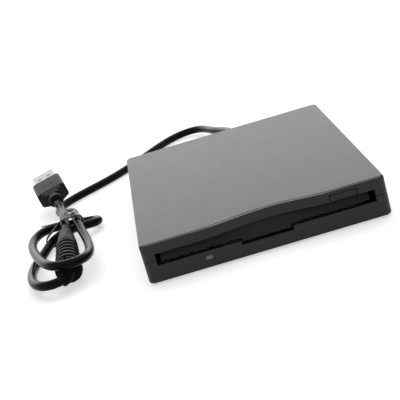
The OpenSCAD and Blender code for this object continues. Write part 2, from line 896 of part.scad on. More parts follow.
module head_carriage() {
    sleeve_z = [rod_z - sleeve_r, rod_z + sleeve_r];
    flag_x = -rod_half - flag_side;
    flag_y = [tower_back - flag_in, tower_back - flag_in + flag[1]];
    color(dark_grey) difference() {
        union() {
            span([-rod_half - sleeve_r, rod_half + sleeve_r], [head_y + base_l, tower_back],
                base_z);
            span([-nose_half, nose_half], [head_y - nose_l, head_y + base_l + over], base_z);
            both() span([rod_half - sleeve_r, rod_half + sleeve_r],
                [head_y + base_l, tower_back], sleeve_z);
            span([-tower_half, tower_half], [tower_front, tower_back], [base_z[0], pivot_z]);
            bar_x([-tower_half, tower_half], pivot_y, pivot_z, tower_tail);
            // Arm with the nut on the lead screw
            span([rod_half, screw_x + nut_edge], nut_y, [base_z[0], screw_z + nut_edge]);
            // Flag in the track sensor
            span([flag_x, flag_x + flag[0]], flag_y, [rod_z, rod_z + flag_up]);
            span([flag_x, -rod_half + flag[0]], flag_y,
                [rod_z + flag_up - flag[0], rod_z + flag_up]);
            span([-rod_half - flag[0], -rod_half + flag[0]], flag_y, [rod_z + rod_r + run_gap,
                rod_z + flag_up]);
        }
        both() bar_y(rod_half, [head_y, tower_back + over], rod_z, rod_r + run_gap);
        bar_y(screw_x, [nut_y[0] - over, nut_y[1] + over], screw_z, screw_r + run_gap);
        bar_x([-tower_half - over, tower_half + over], pivot_y, pivot_z, arm_pin_r + fit_gap);
        span([-arm_gap_half, arm_gap_half], [tower_front - over, tower_back + over],
            [pivot_z - arm_barrel_r - part_gap, pivot_z + 2 * tower_tail]);
    }
}

module lower_head() {
    color(chip_black) span([-head_half, head_half], [head_y - head_l / 2, head_y + head_l / 2],
        [base_z[1], bay_z - part_gap]);
}

module head_arm() {
    tab_y = [pivot_y - arm_tab_at - arm_tab_l / 2, pivot_y - arm_tab_at + arm_tab_l / 2];
    plate_z = [arm_low, arm_low + head_arm_t];
    color(dark_grey) difference() {
        union() {
            bar_x([-arm_barrel_half, arm_barrel_half], pivot_y, pivot_z, arm_barrel_r);
            span([-arm_barrel_half, arm_barrel_half], [pivot_y - arm_root_l, pivot_y], plate_z);
            span([-arm_tip_half, arm_tip_half],
                [head_y - head_l / 2 - arm_tip_l, pivot_y - arm_root_l + over], plate_z);
            span([0, window_half + arm_tab_reach], tab_y, [arm_low, arm_low + lever_t]);
        }
        bar_x([-arm_barrel_half - over, arm_barrel_half + over], pivot_y, pivot_z,
            arm_pin_r + run_gap);
    }
}

module upper_head() {
    color(chip_black) span([-head_half, head_half], [head_y - head_l / 2, head_y + head_l / 2],
        [bay_top + head_gap, arm_low]);
}

module arm_pin() {
    color(steel) bar_x([-tower_half, tower_half], pivot_y, pivot_z, arm_pin_r);
}

module guide_rods() {
    color(steel) both() bar_y(rod_half, rod_y, rod_z, rod_r);
}

clamp_l = 2;
clamp_half = 2.2;
module rod_clamps() {
    color(steel) both() for (y = [rod_y[0], rod_y[1] - clamp_l]) difference() {
        span([rod_half - clamp_half, rod_half + clamp_half], [y, y + clamp_l],
            [deck_z, rod_z + rod_r + part_gap]);
        bar_y(rod_half, [y - over, y + clamp_l + over], rod_z, rod_r);
    }
}

// Lead screw in a bracket, turned by the stepper motor
thread_pitch = 1.5;
thread_h = 0.03;
bracket_ear_t = 1.4;
bracket_w = 1.7;
bracket_t = 0.6;
bracket_x = screw_x + motor_r;
bracket_y = nut_y[0] - head_travel - part_gap - bracket_ear_t;

module lead_screw() {
    color(steel) {
        bar_y(screw_x, [bracket_y, motor_y[0] + shaft_in], screw_z, screw_r);
        for (y = [bracket_y + 2 * bracket_ear_t:thread_pitch:motor_y[0] - shaft_in])
            bar_y(screw_x, [y, y + thread_pitch / 3], screw_z, screw_r + thread_h);
    }
}

module stepper_motor() {
    color([0.6, 0.6, 0.62]) difference() {
        union() {
            bar_y(screw_x, motor_y, screw_z, motor_r);
            span([screw_x, bracket_x], motor_y, [screw_z - motor_r, screw_z]);
        }
        bar_y(screw_x, [motor_y[0] - over, motor_y[0] + 2 * shaft_in], screw_z, screw_r + run_gap);
    }
}

module motor_bracket() {
    outer = bracket_x + bracket_w;
    color(steel) difference() {
        union() {
            span([bracket_x, outer], [bracket_y, motor_y[1]], [deck_z, deck_z + bracket_t]);
            span([screw_x - nut_edge, outer], [bracket_y, bracket_y + bracket_ear_t],
                [deck_z, screw_z + nut_edge]);
            span([bracket_x, outer], motor_y, [deck_z, screw_z + nut_edge]);
        }
        bar_y(screw_x, [bracket_y - over, bracket_y + 2 * bracket_ear_t], screw_z,
            screw_r + run_gap);
    }
}

sensor = [4, 4, 4];
sensor_slit = 1.4;
sensor_floor = 1.4;
sensor_x = -rod_half - flag_side + flag[0] / 2;
sensor_y = tower_back - flag_in + flag[1] / 2 - sensor[1] / 2;
module track_sensor() {
    color(chip_black) difference() {
        span([sensor_x - sensor[0] / 2, sensor_x + sensor[0] / 2],
            [sensor_y, sensor_y + sensor[1]], [deck_z, deck_z + sensor[2]]);
        span([sensor_x - sensor_slit / 2, sensor_x + sensor_slit / 2],
            [sensor_y - over, sensor_y + sensor[1] + over],
            [deck_z + sensor_floor, deck_z + sensor[2] + over]);
    }
}

// Switches under the disk's corners, each with a plunger
switch_side = 2.2;
switch_in = 5;
switch_pitch = 8;
switch_half = [1.7, 2.4];
switch_h = 2.6;
switch_floor = 0.5;
plunger_r = 0.8;
plunger_up = 0.5;
plunger_travel = 1.6;
plunger_seat = 0.5;
switch_x = rail_in - switch_side;
switch_y = chassis_front + switch_in;
switch_places = [[-switch_x, switch_y], [switch_x, switch_y],
    [switch_x, switch_y + switch_pitch]];

module switch_housings() {
    top = deck_z + switch_h;
    color(chip_black) for (s = switch_places) difference() {
        span([s[0] - switch_half[0], s[0] + switch_half[0]],
            [s[1] - switch_half[1], s[1] + switch_half[1]], [deck_z, top]);
        post(s[0], s[1], [deck_z + switch_floor - seam, top + over], plunger_r + run_gap);
    }
}

module plunger(s) {
    color(pale) post(s[0], s[1], [deck_z + switch_floor + plunger_travel, bay_z - plunger_up],
        plunger_r);
}

module write_protect_plunger() { plunger(switch_places[0]); }
module density_plunger() { plunger(switch_places[1]); }
module disk_in_plunger() { plunger(switch_places[2]); }

// Chips on a board: shares of its width, its depth and the chips' height
module chips(x, y, z, h, shares) {
    color(chip_black) for (s = shares)
        span([x[0] + s[0] * (x[1] - x[0]), x[0] + s[1] * (x[1] - x[0])],
            [y[0] + s[2] * (y[1] - y[0]), y[0] + s[3] * (y[1] - y[0])], [z, z + s[4] * h]);
}

// Controller board at the rear left, on posts of the chassis
main_side = 2.4;
main_sensor_gap = 0.6;
main_l = 15.4;
main_up = 0.9;
main_gap = 0.9;
main_post_r = 1.8;
main_post_in = 3;
main_x = [main_side - chassis_half, sensor_x - sensor[0] / 2 - main_sensor_gap];
main_y = [chassis_back - chassis_t - main_gap - main_l, chassis_back - chassis_t - main_gap];
main_z = deck_z + main_up;
main_posts = [for (x = [main_x[0] + main_post_in, main_x[1] - main_post_in],
    y = [main_y[0] + main_post_in, main_y[1] - main_post_in]) [x, y]];
main_chip_shares = [[0.1, 0.42, 0.12, 0.68, 0.8], [0.58, 0.86, 0.1, 0.42, 0.65],
    [0.46, 0.84, 0.72, 0.94, 1]];

module main_board() {
    color(board_green) span(main_x, main_y, [main_z, main_z + board_t]);
}

module main_board_chips() {
    chips(main_x, main_y, main_z + board_t, main_chip_h, main_chip_shares);
}

// USB board along the rear wall
usb_side = 12;
usb_l = 7.6;
usb_gap = 0.7;
usb_low = 0.4;
usb_post_in = 4;
usb_chip_h = 2.6;
usb_half = rear_boss[0] - usb_side;
usb_z = gland_z - gland_flange_r - usb_low - board_t;
usb_y = [back - wall - usb_gap - usb_l, back - wall - usb_gap];
usb_post = [usb_half - usb_post_in, (usb_y[0] + usb_y[1]) / 2];
usb_chip_shares = [[0.32, 0.42, 0.05, 0.85, 0.45], [0.7, 0.78, 0.2, 0.6, 0.8],
    [0.81, 0.85, 0.2, 0.5, 1], [0.16, 0.22, 0.15, 0.6, 0.4], [0.52, 0.66, 0.05, 0.4, 1]];

module usb_board() {
    color(board_green) difference() {
        span([-usb_half, usb_half], usb_y, [usb_z, usb_z + board_t]);
        both() post(usb_post[0], usb_post[1], [usb_z - over, usb_z + board_t + over],
            inner_screw_r + seam / 2);
    }
}

module usb_board_chips() {
    chips([-usb_half, usb_half], usb_y, usb_z + board_t, usb_chip_h, usb_chip_shares);
}

// Flat cable from the controller board's connector to the USB board
cable_w = 8;
cable_t = 0.3;
cable_in = 3;
cable_reach = 1.8;
cable_gap = 1;
cable_up = 1.3;
cable_share = 0.65;
cable_x = main_x[0] + cable_share * (main_x[1] - main_x[0]) - cable_w / 2;
cable_z = usb_z + board_t + cable_up;
main_chip_h = cable_z - main_z - board_t;

module flat_cable() {
    start = main_y[1] - cable_in;
    end = usb_y[0] + cable_reach;
    color(pale) translate([cable_x, 0, 0]) rotate([90, 0, 90]) linear_extrude(cable_w)
        polygon([[start, cable_z], [start, cable_z + cable_t], [end, cable_z + cable_t],
            [end, usb_z + board_t], [end - cable_t, usb_z + board_t], [end - cable_t, cable_z]]);
}

// Wires from the gland down to the connector on the USB board
gland_in = 3;
wire_r = 0.4;
wire_pitch = 1.4;
wire_drop = 1;
wire_count = 4;
wire_share = 0.22;
module lead_wires() {
    y = usb_y[0] + usb_l * wire_share;
    z = gland_z - wire_drop;
    top = usb_z + board_t + usb_chip_h;
    color(steel) for (i = [1:wire_count]) {
        x = gland_x + (i - (wire_count + 1) / 2) * wire_pitch;
        bar_y(x, [y, back - wall - gland_in], z, wire_r);
        translate([x, y, z]) sphere(r = wire_r);
        post(x, y, [top, z], wire_r);
    }
}

// Lamp on its board behind the lens
lamp_up = 1;
lamp_board_t = 0.8;
lamp_half = 7;
lamp_post_side = 4.5;
lamp_y = [4.6, 11];
lamp = [2.8, 2.1, 1.8];
lamp_z = floor_z + lamp_up;
lamp_post_y = front + (lamp_y[0] + lamp_y[1]) / 2;
lamp_post_xs = [lens_x - lamp_post_side, lens_x + lamp_post_side];

module lamp_board() {
    color(board_green) span([lens_x - lamp_half, lens_x + lamp_half],
        [front + lamp_y[0], front + lamp_y[1]], [lamp_z, lamp_z + lamp_board_t]);
}

module lamp() {
    top = lamp_z + lamp_board_t;
    color(pale) span([lens_x - lamp[0] / 2, lens_x + lamp[0] / 2],
        [front + lamp_y[0], front + lamp_y[0] + lamp[1]], [top, top + lamp[2]]);
}

// Posts under the chassis, and how deep their screws go
post_in = 2.5;
post_side = 18.4;
rear_post_side = 8.4;
rear_post_in = 20.5;
pit_floor = 0.4;
screw_pit = under_z + pit_floor;
chassis_posts = [[chassis_half - post_side, chassis_front + post_in],
    [chassis_half - rear_post_side, chassis_back - rear_post_in]];

// Gland of the lead: a collar on both sides of the wall and a ribbed sleeve
gland_flange_t = 1.5;
gland_tip_r = 2.9;
gland_rings = 4;
groove_share = 0.86;

module cable_gland() {
    wall_end = gland_in + wall;
    sleeve = wall_end + gland_flange_t;
    tip = wall_end + gland_l;
    step = (tip - sleeve) / (gland_rings + 1);
    taper = (gland_flange_r - gland_tip_r) / gland_rings;
    color(soft_black) translate([gland_x, back - wall - gland_in, gland_z]) rotate([-90, 0, 0])
        rotate_extrude() polygon([[0, 0], [gland_neck_r, 0],
            [gland_neck_r, gland_in - gland_flange_t], [gland_flange_r, gland_in - gland_flange_t],
            [gland_flange_r, gland_in], [gland_neck_r, gland_in], [gland_neck_r, wall_end],
            [gland_flange_r, wall_end], [gland_flange_r, sleeve],
            for (i = [1:gland_rings]) let (s = sleeve + i * step, r = gland_flange_r - i * taper)
                each [[r, s - step], [r, s - step / 3], [r * groove_share, s - step / 3],
                    [r * groove_share, s]],
            [gland_tip_r * groove_share, tip], [0, tip]]);
}

// Route of the lead from the gland, round the bundle and to the plug
cord_r = cord_d / 2;
route = [
    [6, 83, 10.2], [6, 91, 10.1], [5.3, 100, 9], [2.8, 109, 7.6], [-0.4, 118, 6.4],
    [-2.8, 127, 5.3], [-5, 136.5, 4.4], [-9.5, 145.5, 3.5], [-18, 148.5, 2.6], [-26, 144.5, 2.3],
    [-32.5, 137, 2.3], [-39, 128.5, 2.3], [-46, 118, 2.3], [-54, 108, 2.3], [-62.5, 98.5, 2.3],
    [-72, 90.5, 2.3], [-81, 83.5, 2.3], [-89, 76.5, 2.2], [-93, 68, 2.2], [-92, 59, 2.5],
    [-88.5, 51.5, 3.9], [-85, 44, 6], [-82.8, 36, 8.2], [-81.6, 28, 9.8], [-80.9, 20, 10.6],
    [-80, 12, 9.9], [-78.5, 3, 8.8], [-76.6, -7, 8.1], [-75.1, -17.5, 8], [-74.3, -28, 8.6],
    [-74.5, -37.5, 9.8], [-77.5, -45.5, 11], [-84, -49, 11.8], [-90.3, -45.5, 11.8],
    [-93.8, -37.5, 11], [-96.4, -28.5, 10], [-98.8, -18.5, 8.9], [-101, -8, 7.9],
    [-102.6, 2.5, 7.3], [-102.4, 12.5, 7.3], [-98.5, 21, 7.4], [-92, 25.4, 6.6], [-86, 29, 4.7],
    [-80, 33, 3], [-73.5, 32.7, 2.4], [-70.4, 26.6, 3.5], [-73, 20.4, 4.7], [-79, 18.8, 5.5],
    [-85.5, 18.8, 5.3], [-91.6, 16.3, 4.5], [-95.4, 10.5, 3.5], [-97.8, 4, 2.5], [-100, -2.5, 2.2],
    [-102, -9.5, 2.2], [-103, -17.5, 2.3], [-102.8, -26.5, 3], [-101.6, -35.5, 4],
    [-99.6, -43.3, 4.9], [-96, -49.8, 5.7], [-90.4, -52.3, 6.2], [-85.7, -49.3, 6.3],
    [-84.4, -43, 6.3], [-84.75, -31, 6.95], [-85.1, -19, 7.6], [-85.45, -7, 8.25],
    [-85.8, 5, 8.9], [-86.1, 14, 9.9], [-86.7, 24, 10.4], [-87.6, 33, 10.2], [-88.7, 42, 9.5],
    [-89.9, 50, 8.8], [-90.8, 54.4, 9.1], [-91.5, 58.5, 9.7]];
last = len(route) - 1;
route_ends = concat([2 * route[0] - route[1]], route, [2 * route[last] - route[last - 1]]);
lead_stop = 20;
bead_near = 61;
bundle_stop = 63;
bead_far = 65;

// Smooth curve near the route's points; u counts points from the gland
function route_at(u) = let (i = min(floor(u), last - 1), t = u - i, e = route_ends)
    ((1 - t) ^ 3 * e[i] + (3 * t ^ 3 - 6 * t ^ 2 + 4) * e[i + 1]
        + (-3 * t ^ 3 + 3 * t ^ 2 + 3 * t + 1) * e[i + 2] + t ^ 3 * e[i + 3]) / 6;
function route_dir(u) = let (h = 0.02, a = route_at(max(u - h, 0)),
    b = route_at(min(u + h, last))) (b - a) / norm(b - a);

module along_route(us, radii, sides) {
    sweep([for (u = us) route_at(u)], [for (u = us) route_dir(u)], radii, sides);
}

module cord(from, to, rings, sides) {
    us = [for (i = [0:rings]) from + (to - from) * i / rings];
    color(soft_black) along_route(us, [for (u = us) cord_r], sides);
}

// Least gap of the bundle to itself, between points more than a few diameters apart
gap_steps = 260;
gap_skip = 12;
function bundle_gap() = let (n = gap_steps,
        c = [for (i = [0:n]) route_at(lead_stop + (last - lead_stop) * i / n)])
    min([for (i = [0:n - gap_skip], j = [i + gap_skip:n]) norm(c[i] - c[j])]) - cord_d;
function length_to(c, i) = i == 0 ? 0 : norm(c[i] - c[i - 1]) + length_to(c, i - 1);

module cord_lead() { cord(0, lead_stop, 24, 10); }

module cord_bundle() {
    fine = [for (i = [0:gap_steps]) route_at(last * i / gap_steps)];
    echo(bundle_gap = bundle_gap(), cord_length = length_to(fine, gap_steps));
    cord(lead_stop, bundle_stop, 64, 6);
}

module cord_tail() { cord(bundle_stop, last, 12, 10); }

// Ferrite bead, from its round near end to its thin far end, and a ribbed relief
bead_a = route[bead_near];
bead_b = route[bead_far];
bead_l = norm(bead_b - bead_a);
bead_round = 3;
bead_mid_r = 4.7;
bead_end_r = 2.9;
bead_rib_from = 6;
bead_rib_to = 32;
bead_gap = 0.15;
bead_bore = cord_r + bead_gap;
bead_mouth = 0.35;
bead_mouth_l = 3;
rib_deep = 0.5;
relief_rings = 12;
relief_from = 60.8;
relief_to = 59.6;
relief_over = 0.1;
relief_r = [3.1, 2.75];

function bead_radius(s) = s < bead_rib_to
    ? bead_r - (bead_r - bead_mid_r) * s / bead_rib_to
    : bead_mid_r - (bead_mid_r - bead_end_r) * (s - bead_rib_to) / (bead_l - bead_rib_to);

module ferrite_bead() {
    axis = bead_b - bead_a;
    pitch = (bead_rib_to - bead_rib_from) / bead_ribs;
    color(soft_black)
        translate(bead_a) rotate([0, acos(axis[2] / bead_l), atan2(axis[1], axis[0])])
            rotate_extrude() polygon([[bead_bore, bead_mouth_l], [bead_bore + bead_mouth, 0],
                for (a = [0:22.5:90]) [bead_r - bead_round * (1 - sin(a)), bead_round * (1 - cos(a))],
                for (i = [0:bead_ribs - 1]) let (s = bead_rib_from + i * pitch, r = bead_radius(s))
                    each [[r, s], [r - rib_deep, s + pitch / 6], [r - rib_deep, s + pitch / 2],
                        [r, s + pitch * 2 / 3]],
                [bead_mid_r, bead_rib_to], [bead_end_r, bead_l], [bead_bore, bead_l]]);
}

// Bent, ribbed relief at the bead's near end, hollow for the lead
module bead_relief() {
    us = [for (i = [0:relief_rings]) relief_from + (relief_to - relief_from) * i / relief_rings];
    bore = concat([relief_from + relief_over], us, [relief_to - relief_over]);
    color(soft_black) difference() {
        along_route(us, [for (i = [0:relief_rings]) relief_r[floor(i / 2) % 2]], 10);
        along_route(bore, [for (u = bore) bead_bore], 10);
    }
}

// Wire tie round the strands, as [x, z] places, with its twisted end
tie_y = [12.5, 15.5];
tie_t = 0.7;
tie_gap = 0.45;
tie_strands = [[-86.15, 9.8], [-80.2, 10.05], [-91.4, 4.4], [-94, 3.9]];
tie_knot = [-79, 15, 12.9];
tie_knot_turn = [62, 0, -52];
tie_knot_w = 2.4;
tie_knot_l = 8;

module tie_outline(r) {
    hull() for (s = tie_strands) translate(s) circle(r = r, $fn = 20);
}

module twist_tie() {
    color(black) {
        translate([0, tie_y[1], 0]) rotate([90, 0, 0]) linear_extrude(tie_y[1] - tie_y[0])
            difference() {
                tie_outline(cord_r + tie_gap + tie_t);
                tie_outline(cord_r + tie_gap);
            }
        translate(tie_knot) rotate(tie_knot_turn)
            linear_extrude(tie_knot_l, twist = 300, slices = 14, segments = 4)
                square([tie_knot_w, tie_t], center = true);
    }
}

// Plug, modelled along +Y from its collar and then laid in place
plug_at = route[last];
plug_turn = [9, -11, 8.8];
collar_r = 3.7;
collar_l = 3;
collar_step = 1;
step_l = 2;
step_shares = [[0.6, 0.85], [0.8, 0.92]];
body_in = 8;
plug_r = 1.6;
grip_deep = 0.6;
grip_in = 2;
dimple_r = 0.6;
dimple_x = 2;
dimple_in = 8;
shell_seat = 4;
shell_w = 12;
shell_h = 4.5;
shell_t = 0.35;
shell_l = 11.9;
shell_r = 0.5;
window = [2, 2.4];
window_in = 4.6;
shell_window_x = 2.6;
tongue_t = 1.8;
tongue_in = 1;
contact = [1, 0.15];
contact_pitch = 2.4;

module plug_place() {
    translate(plug_at) rotate(plug_turn) children();
}

// Rounded bar along +Y
module plug_bar(w, t, r, y) {
    translate([0, y[1], 0]) rotate([90, 0, 0]) linear_extrude(y[1] - y[0]) {
        square([w - 2 * r, t], center = true);
        square([w, t - 2 * r], center = true);
        for (x = [r - w / 2, w / 2 - r], z = [r - t / 2, t / 2 - r])
            translate([x, z]) circle(r = r);
    }
}

module plug_body() {
    neck = collar_l + collar_step;
    color(black) plug_place() difference() {
        union() {
            bar_y(0, [0, collar_l], 0, collar_r);
            bar_y(0, [collar_l, neck], 0, collar_r - grip_deep);
            plug_bar(plug_w * step_shares[0][0], plug_t * step_shares[0][1], plug_r,
                [neck, neck + step_l]);
            plug_bar(plug_w * step_shares[1][0], plug_t * step_shares[1][1], plug_r,
                [neck + step_l, body_in]);
            plug_bar(plug_w, plug_t, plug_r, [body_in, plug_l]);
        }
        plug_bar(shell_w, shell_h, shell_r, [plug_l - shell_seat, plug_l + over]);
        both() span([plug_w / 2 - grip_deep, plug_w], [body_in + grip_in, plug_l - grip_in],
            [-plug_t / 4, plug_t / 4]);
        for (x = [-dimple_x, dimple_x])
            post(x, plug_l - dimple_in, [plug_t / 2 - grip_deep / 2, plug_t], dimple_r);
    }
}

module plug_shell() {
    color(steel) plug_place() difference() {
        plug_bar(shell_w, shell_h, shell_r, [plug_l - shell_seat, plug_l + shell_l]);
        plug_bar(shell_w - 2 * shell_t, shell_h - 2 * shell_t, shell_r - shell_t / 2,
            [plug_l - shell_seat - over, plug_l + shell_l + over]);
        for (x = [-shell_window_x, shell_window_x])
            span([x - window[0] / 2, x + window[0] / 2],
                [plug_l + window_in, plug_l + window_in + window[1]], [-shell_h, shell_h]);
    }
}

tongue_low = shell_h / 2 - shell_t - tongue_t;
module plug_tongue() {
    half = shell_w / 2 - shell_t - shell_r;
    color(pale) plug_place() span([-half, half],
        [plug_l - shell_seat, plug_l + shell_l - tongue_in], [tongue_low, tongue_low + tongue_t]);
}

module plug_contacts() {
    color(brass) plug_place() for (i = [0:3]) let (x = contact_pitch * (i - 1.5))
        span([x - contact[0] / 2, x + contact[0] / 2],
            [plug_l + tongue_in, plug_l + shell_l - 2 * tongue_in],
            [tongue_low - contact[1], tongue_low]);
}

top_cover();
bottom_case();
front_bezel();
door_flap();
door_spring();
eject_button();
led_lens();
rubber_feet();
case_screws();
chassis();
chassis_screws();
shield_cover();
disk_carrier();
eject_slide();
slide_springs();
trigger_lever();
lever_clip();
lever_spring();
spindle_board();
stator_coils();
spindle_bush();
spindle_rotor();
spindle_hub();
drive_pin();
head_carriage();
lower_head();
head_arm();
upper_head();
arm_pin();
guide_rods();
rod_clamps();
lead_screw();
stepper_motor();
motor_bracket();
track_sensor();
switch_housings();
write_protect_plunger();
density_plunger();
disk_in_plunger();
main_board();
main_board_chips();
flat_cable();
usb_board();
usb_board_chips();
lead_wires();
lamp_board();
lamp();
cable_gland();
cord_lead();
cord_bundle();
cord_tail();
ferrite_bead();
bead_relief();
twist_tie();
plug_body();
plug_shell();
plug_tongue();
plug_contacts();
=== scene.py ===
"""External floppy drive with its tied USB lead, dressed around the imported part.

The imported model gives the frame. The mouldings get softened edges, the lead, bead, tie, gland and
plug are modelled anew, and each piece gets a procedural finish. Lengths are written in millimetres
and turned into metres by MM.
"""
import logging
import math
from dataclasses import dataclass, field
from enum import Enum
from typing import Any, Callable, ClassVar, Iterable, Sequence

import bmesh
import bpy
from mathutils import Euler, Matrix, Vector


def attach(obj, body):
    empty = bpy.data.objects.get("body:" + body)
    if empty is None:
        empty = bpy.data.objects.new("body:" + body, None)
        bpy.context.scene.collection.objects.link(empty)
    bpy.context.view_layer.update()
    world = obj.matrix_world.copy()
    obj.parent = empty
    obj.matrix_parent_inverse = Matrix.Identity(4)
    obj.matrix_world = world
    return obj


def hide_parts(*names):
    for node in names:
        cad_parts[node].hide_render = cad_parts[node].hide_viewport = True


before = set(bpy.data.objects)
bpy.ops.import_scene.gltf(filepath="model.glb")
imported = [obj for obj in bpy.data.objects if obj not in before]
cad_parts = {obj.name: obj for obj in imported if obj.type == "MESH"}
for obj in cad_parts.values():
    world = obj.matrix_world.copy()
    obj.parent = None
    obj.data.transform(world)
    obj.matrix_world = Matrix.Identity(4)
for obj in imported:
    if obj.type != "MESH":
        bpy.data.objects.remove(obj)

log = logging.getLogger("floppy_drive")

MM = 0.001
# Points that are nearer than this, in millimetres, are one.
TOUCHING = 0.001
# What a wave node turns through where its scaled vector grows by one.
WAVE_RADIANS = 20
# Least part of a normal along an axis that it faces.
FACING = 0.99
Colour = tuple[float, float, float]
Place = tuple[float, float, float]


def grey(level: float) -> Colour:
    """A colour with three equal parts."""
    return (level, level, level)


# Node graphs


class Socket:
    """A node's output with arithmetic: an expression adds the Math nodes that it needs."""

    def __init__(self, graph: "Graph", link: bpy.types.NodeSocket) -> None:
        """Keeps the socket and the graph that it belongs to."""
        self.graph = graph
        self.link = link

    def _math(self, operation: str, first: Any, second: Any) -> "Socket":
        """Adds one Math node and returns its result."""
        return self.graph.node(
            "ShaderNodeMath", {"operation": operation}, {0: first, 1: second})["Value"]

    def __add__(self, other: Any) -> "Socket":
        """self + other"""
        return self._math("ADD", self, other)

    def __radd__(self, other: Any) -> "Socket":
        """other + self"""
        return self._math("ADD", other, self)

    def __sub__(self, other: Any) -> "Socket":
        """self - other"""
        return self._math("SUBTRACT", self, other)

    def __rsub__(self, other: Any) -> "Socket":
        """other - self"""
        return self._math("SUBTRACT", other, self)

    def __mul__(self, other: Any) -> "Socket":
        """self * other"""
        return self._math("MULTIPLY", self, other)

    def __rmul__(self, other: Any) -> "Socket":
        """other * self"""
        return self._math("MULTIPLY", other, self)

    def __gt__(self, other: Any) -> "Socket":
        """1 where self is over other, else 0"""
        return self._math("GREATER_THAN", self, other)

    def __lt__(self, other: Any) -> "Socket":
        """1 where self is under other, else 0"""
        return self._math("LESS_THAN", self, other)


class Graph:
    """Node tree of one material or of the world."""

    MIX_LOW: ClassVar[int] = 6
    MIX_HIGH: ClassVar[int] = 7

    def __init__(self, tree: bpy.types.NodeTree) -> None:
        """Empties the tree and keeps it."""
        self.tree = tree
        tree.nodes.clear()

    def node(self, kind: str, settings: dict[str, Any], values: dict[Any, Any]) -> dict:
        """Adds a node.

        Args:
            kind: type of the node.
            settings: properties of the node, set first; "stops" are a ramp's stops.
            values: numbers, colours or sockets by the name or place of the input.

        Returns:
            The node's outputs by name.
        """
        made = self.tree.nodes.new(kind)
        for name, value in settings.items():
            if name == "stops":
                ramp = made.color_ramp.elements
                for stop, (place, shade) in zip([ramp[0], ramp[1]], value):
                    stop.position = place
                    stop.color = (*shade, 1)
            else:
                setattr(made, name, value)
        for key, value in values.items():
            if isinstance(value, Socket):
                self.tree.links.new(value.link, made.inputs[key])
            else:
                made.inputs[key].default_value = value
        return {out.name: Socket(self, out) for out in made.outputs if out.enabled}

    def place(self, stretch: Place = (1, 1, 1)) -> Socket:
        """Object coordinates in metres.

        Args:
            stretch: factor along each axis.

        Returns:
            The coordinates, through a Mapping node where they are stretched.
        """
        here = self.node("ShaderNodeTexCoord", {}, {})["Object"]
        if stretch == (1, 1, 1):
            return here
        return self.node("ShaderNodeMapping", {}, {"Vector": here, "Scale": stretch})["Vector"]

    def noise(self, size: float, detail: float = 2, stretch: Place = (1, 1, 1)) -> Socket:
        """Noise from 0 to 1 whose grains are about size millimetres across."""
        return self.node("ShaderNodeTexNoise", {"noise_dimensions": "3D"}, {
            "Vector": self.place(stretch), "Scale": 1 / (size * MM), "Detail": detail})["Fac"]

    def cells(self, size: float) -> Socket:
        """Distance from the middle of cells that are about size millimetres across."""
        return self.node("ShaderNodeTexVoronoi", {}, {
            "Vector": self.place(), "Scale": 1 / (size * MM)})["Distance"]

    def bands(self, pitch: float, axis: str) -> Socket:
        """Waves from 0 to 1 across an axis, a pitch in millimetres apart."""
        return self.node("ShaderNodeTexWave", {"bands_direction": axis}, {
            "Vector": self.place(),
            "Scale": 2 * math.pi / (WAVE_RADIANS * pitch * MM)})["Fac"]

    def blend(self, share: Any, low: Colour, high: Colour) -> Socket:
        """Colour between two colours, by a share from 0 to 1."""
        return self.node("ShaderNodeValToRGB", {"stops": [(0.0, low), (1.0, high)]},
                         {"Fac": share})["Color"]

    def mix(self, share: Socket, low: Any, high: Any) -> Socket:
        """Mix of two colours with alpha, or of colour sockets, by a share from 0 to 1."""
        return self.node("ShaderNodeMix", {"data_type": "RGBA"}, {
            "Factor": share, self.MIX_LOW: low, self.MIX_HIGH: high})["Result"]

    def seen(self) -> Socket:
        """1 for the rays that show the background: from the camera, off gloss, through glass."""
        path = self.node("ShaderNodeLightPath", {}, {})
        return path["Is Camera Ray"] + path["Is Glossy Ray"] + path["Is Transmission Ray"] > 0.5

    def bump(self, height: Socket, depth: float) -> Socket:
        """Normal of a surface with that height, depth millimetres from low to high."""
        return self.node("ShaderNodeBump", {}, {
            "Height": height, "Distance": depth * MM, "Strength": 1.0})["Normal"]

    def surface(self, values: dict[str, Any]) -> None:
        """Ends the graph in a Principled shader."""
        shader = self.node("ShaderNodeBsdfPrincipled", {}, values)["BSDF"]
        self.node("ShaderNodeOutputMaterial", {}, {"Surface": shader})


# Finishes


@dataclass(frozen=True)
class Finish:
    """A procedural finish; each kind says what its surface looks like."""

    name: str
    tint: Colour
    rough: float
    dark: ClassVar[float] = 0.8
    light: ClassVar[float] = 1.25

    def values(self, graph: Graph) -> dict[str, Any]:
        """Inputs of the Principled shader."""
        raise NotImplementedError

    def material(self) -> bpy.types.Material:
        """Makes the finish's material, or finds it.

        Returns:
            The material.
        """
        found = bpy.data.materials.get(self.name)
        if found is None:
            found = bpy.data.materials.new(self.name)
            found.use_nodes = True
            graph = Graph(found.node_tree)
            graph.surface(self.values(graph))
        return found

    def shade(self, factor: float) -> Colour:
        """The tint made lighter or darker."""
        return tuple(min(1.0, factor * part) for part in self.tint)

    def shades(self, graph: Graph, share: Socket) -> Socket:
        """The tint from its dark to its light shade, by a share from 0 to 1."""
        return graph.blend(share, self.shade(self.dark), self.shade(self.light))

    def worn(self, *parts: tuple[float, Socket]) -> Socket:
        """The roughness, moved up and down by patterns.

        Args:
            parts: how far each pattern moves it, with the pattern, which goes from 0 to 1.

        Returns:
            The roughness as a socket.
        """
        rough = self.rough
        for reach, pattern in parts:
            rough = rough + reach * (pattern - 0.5)
        return rough


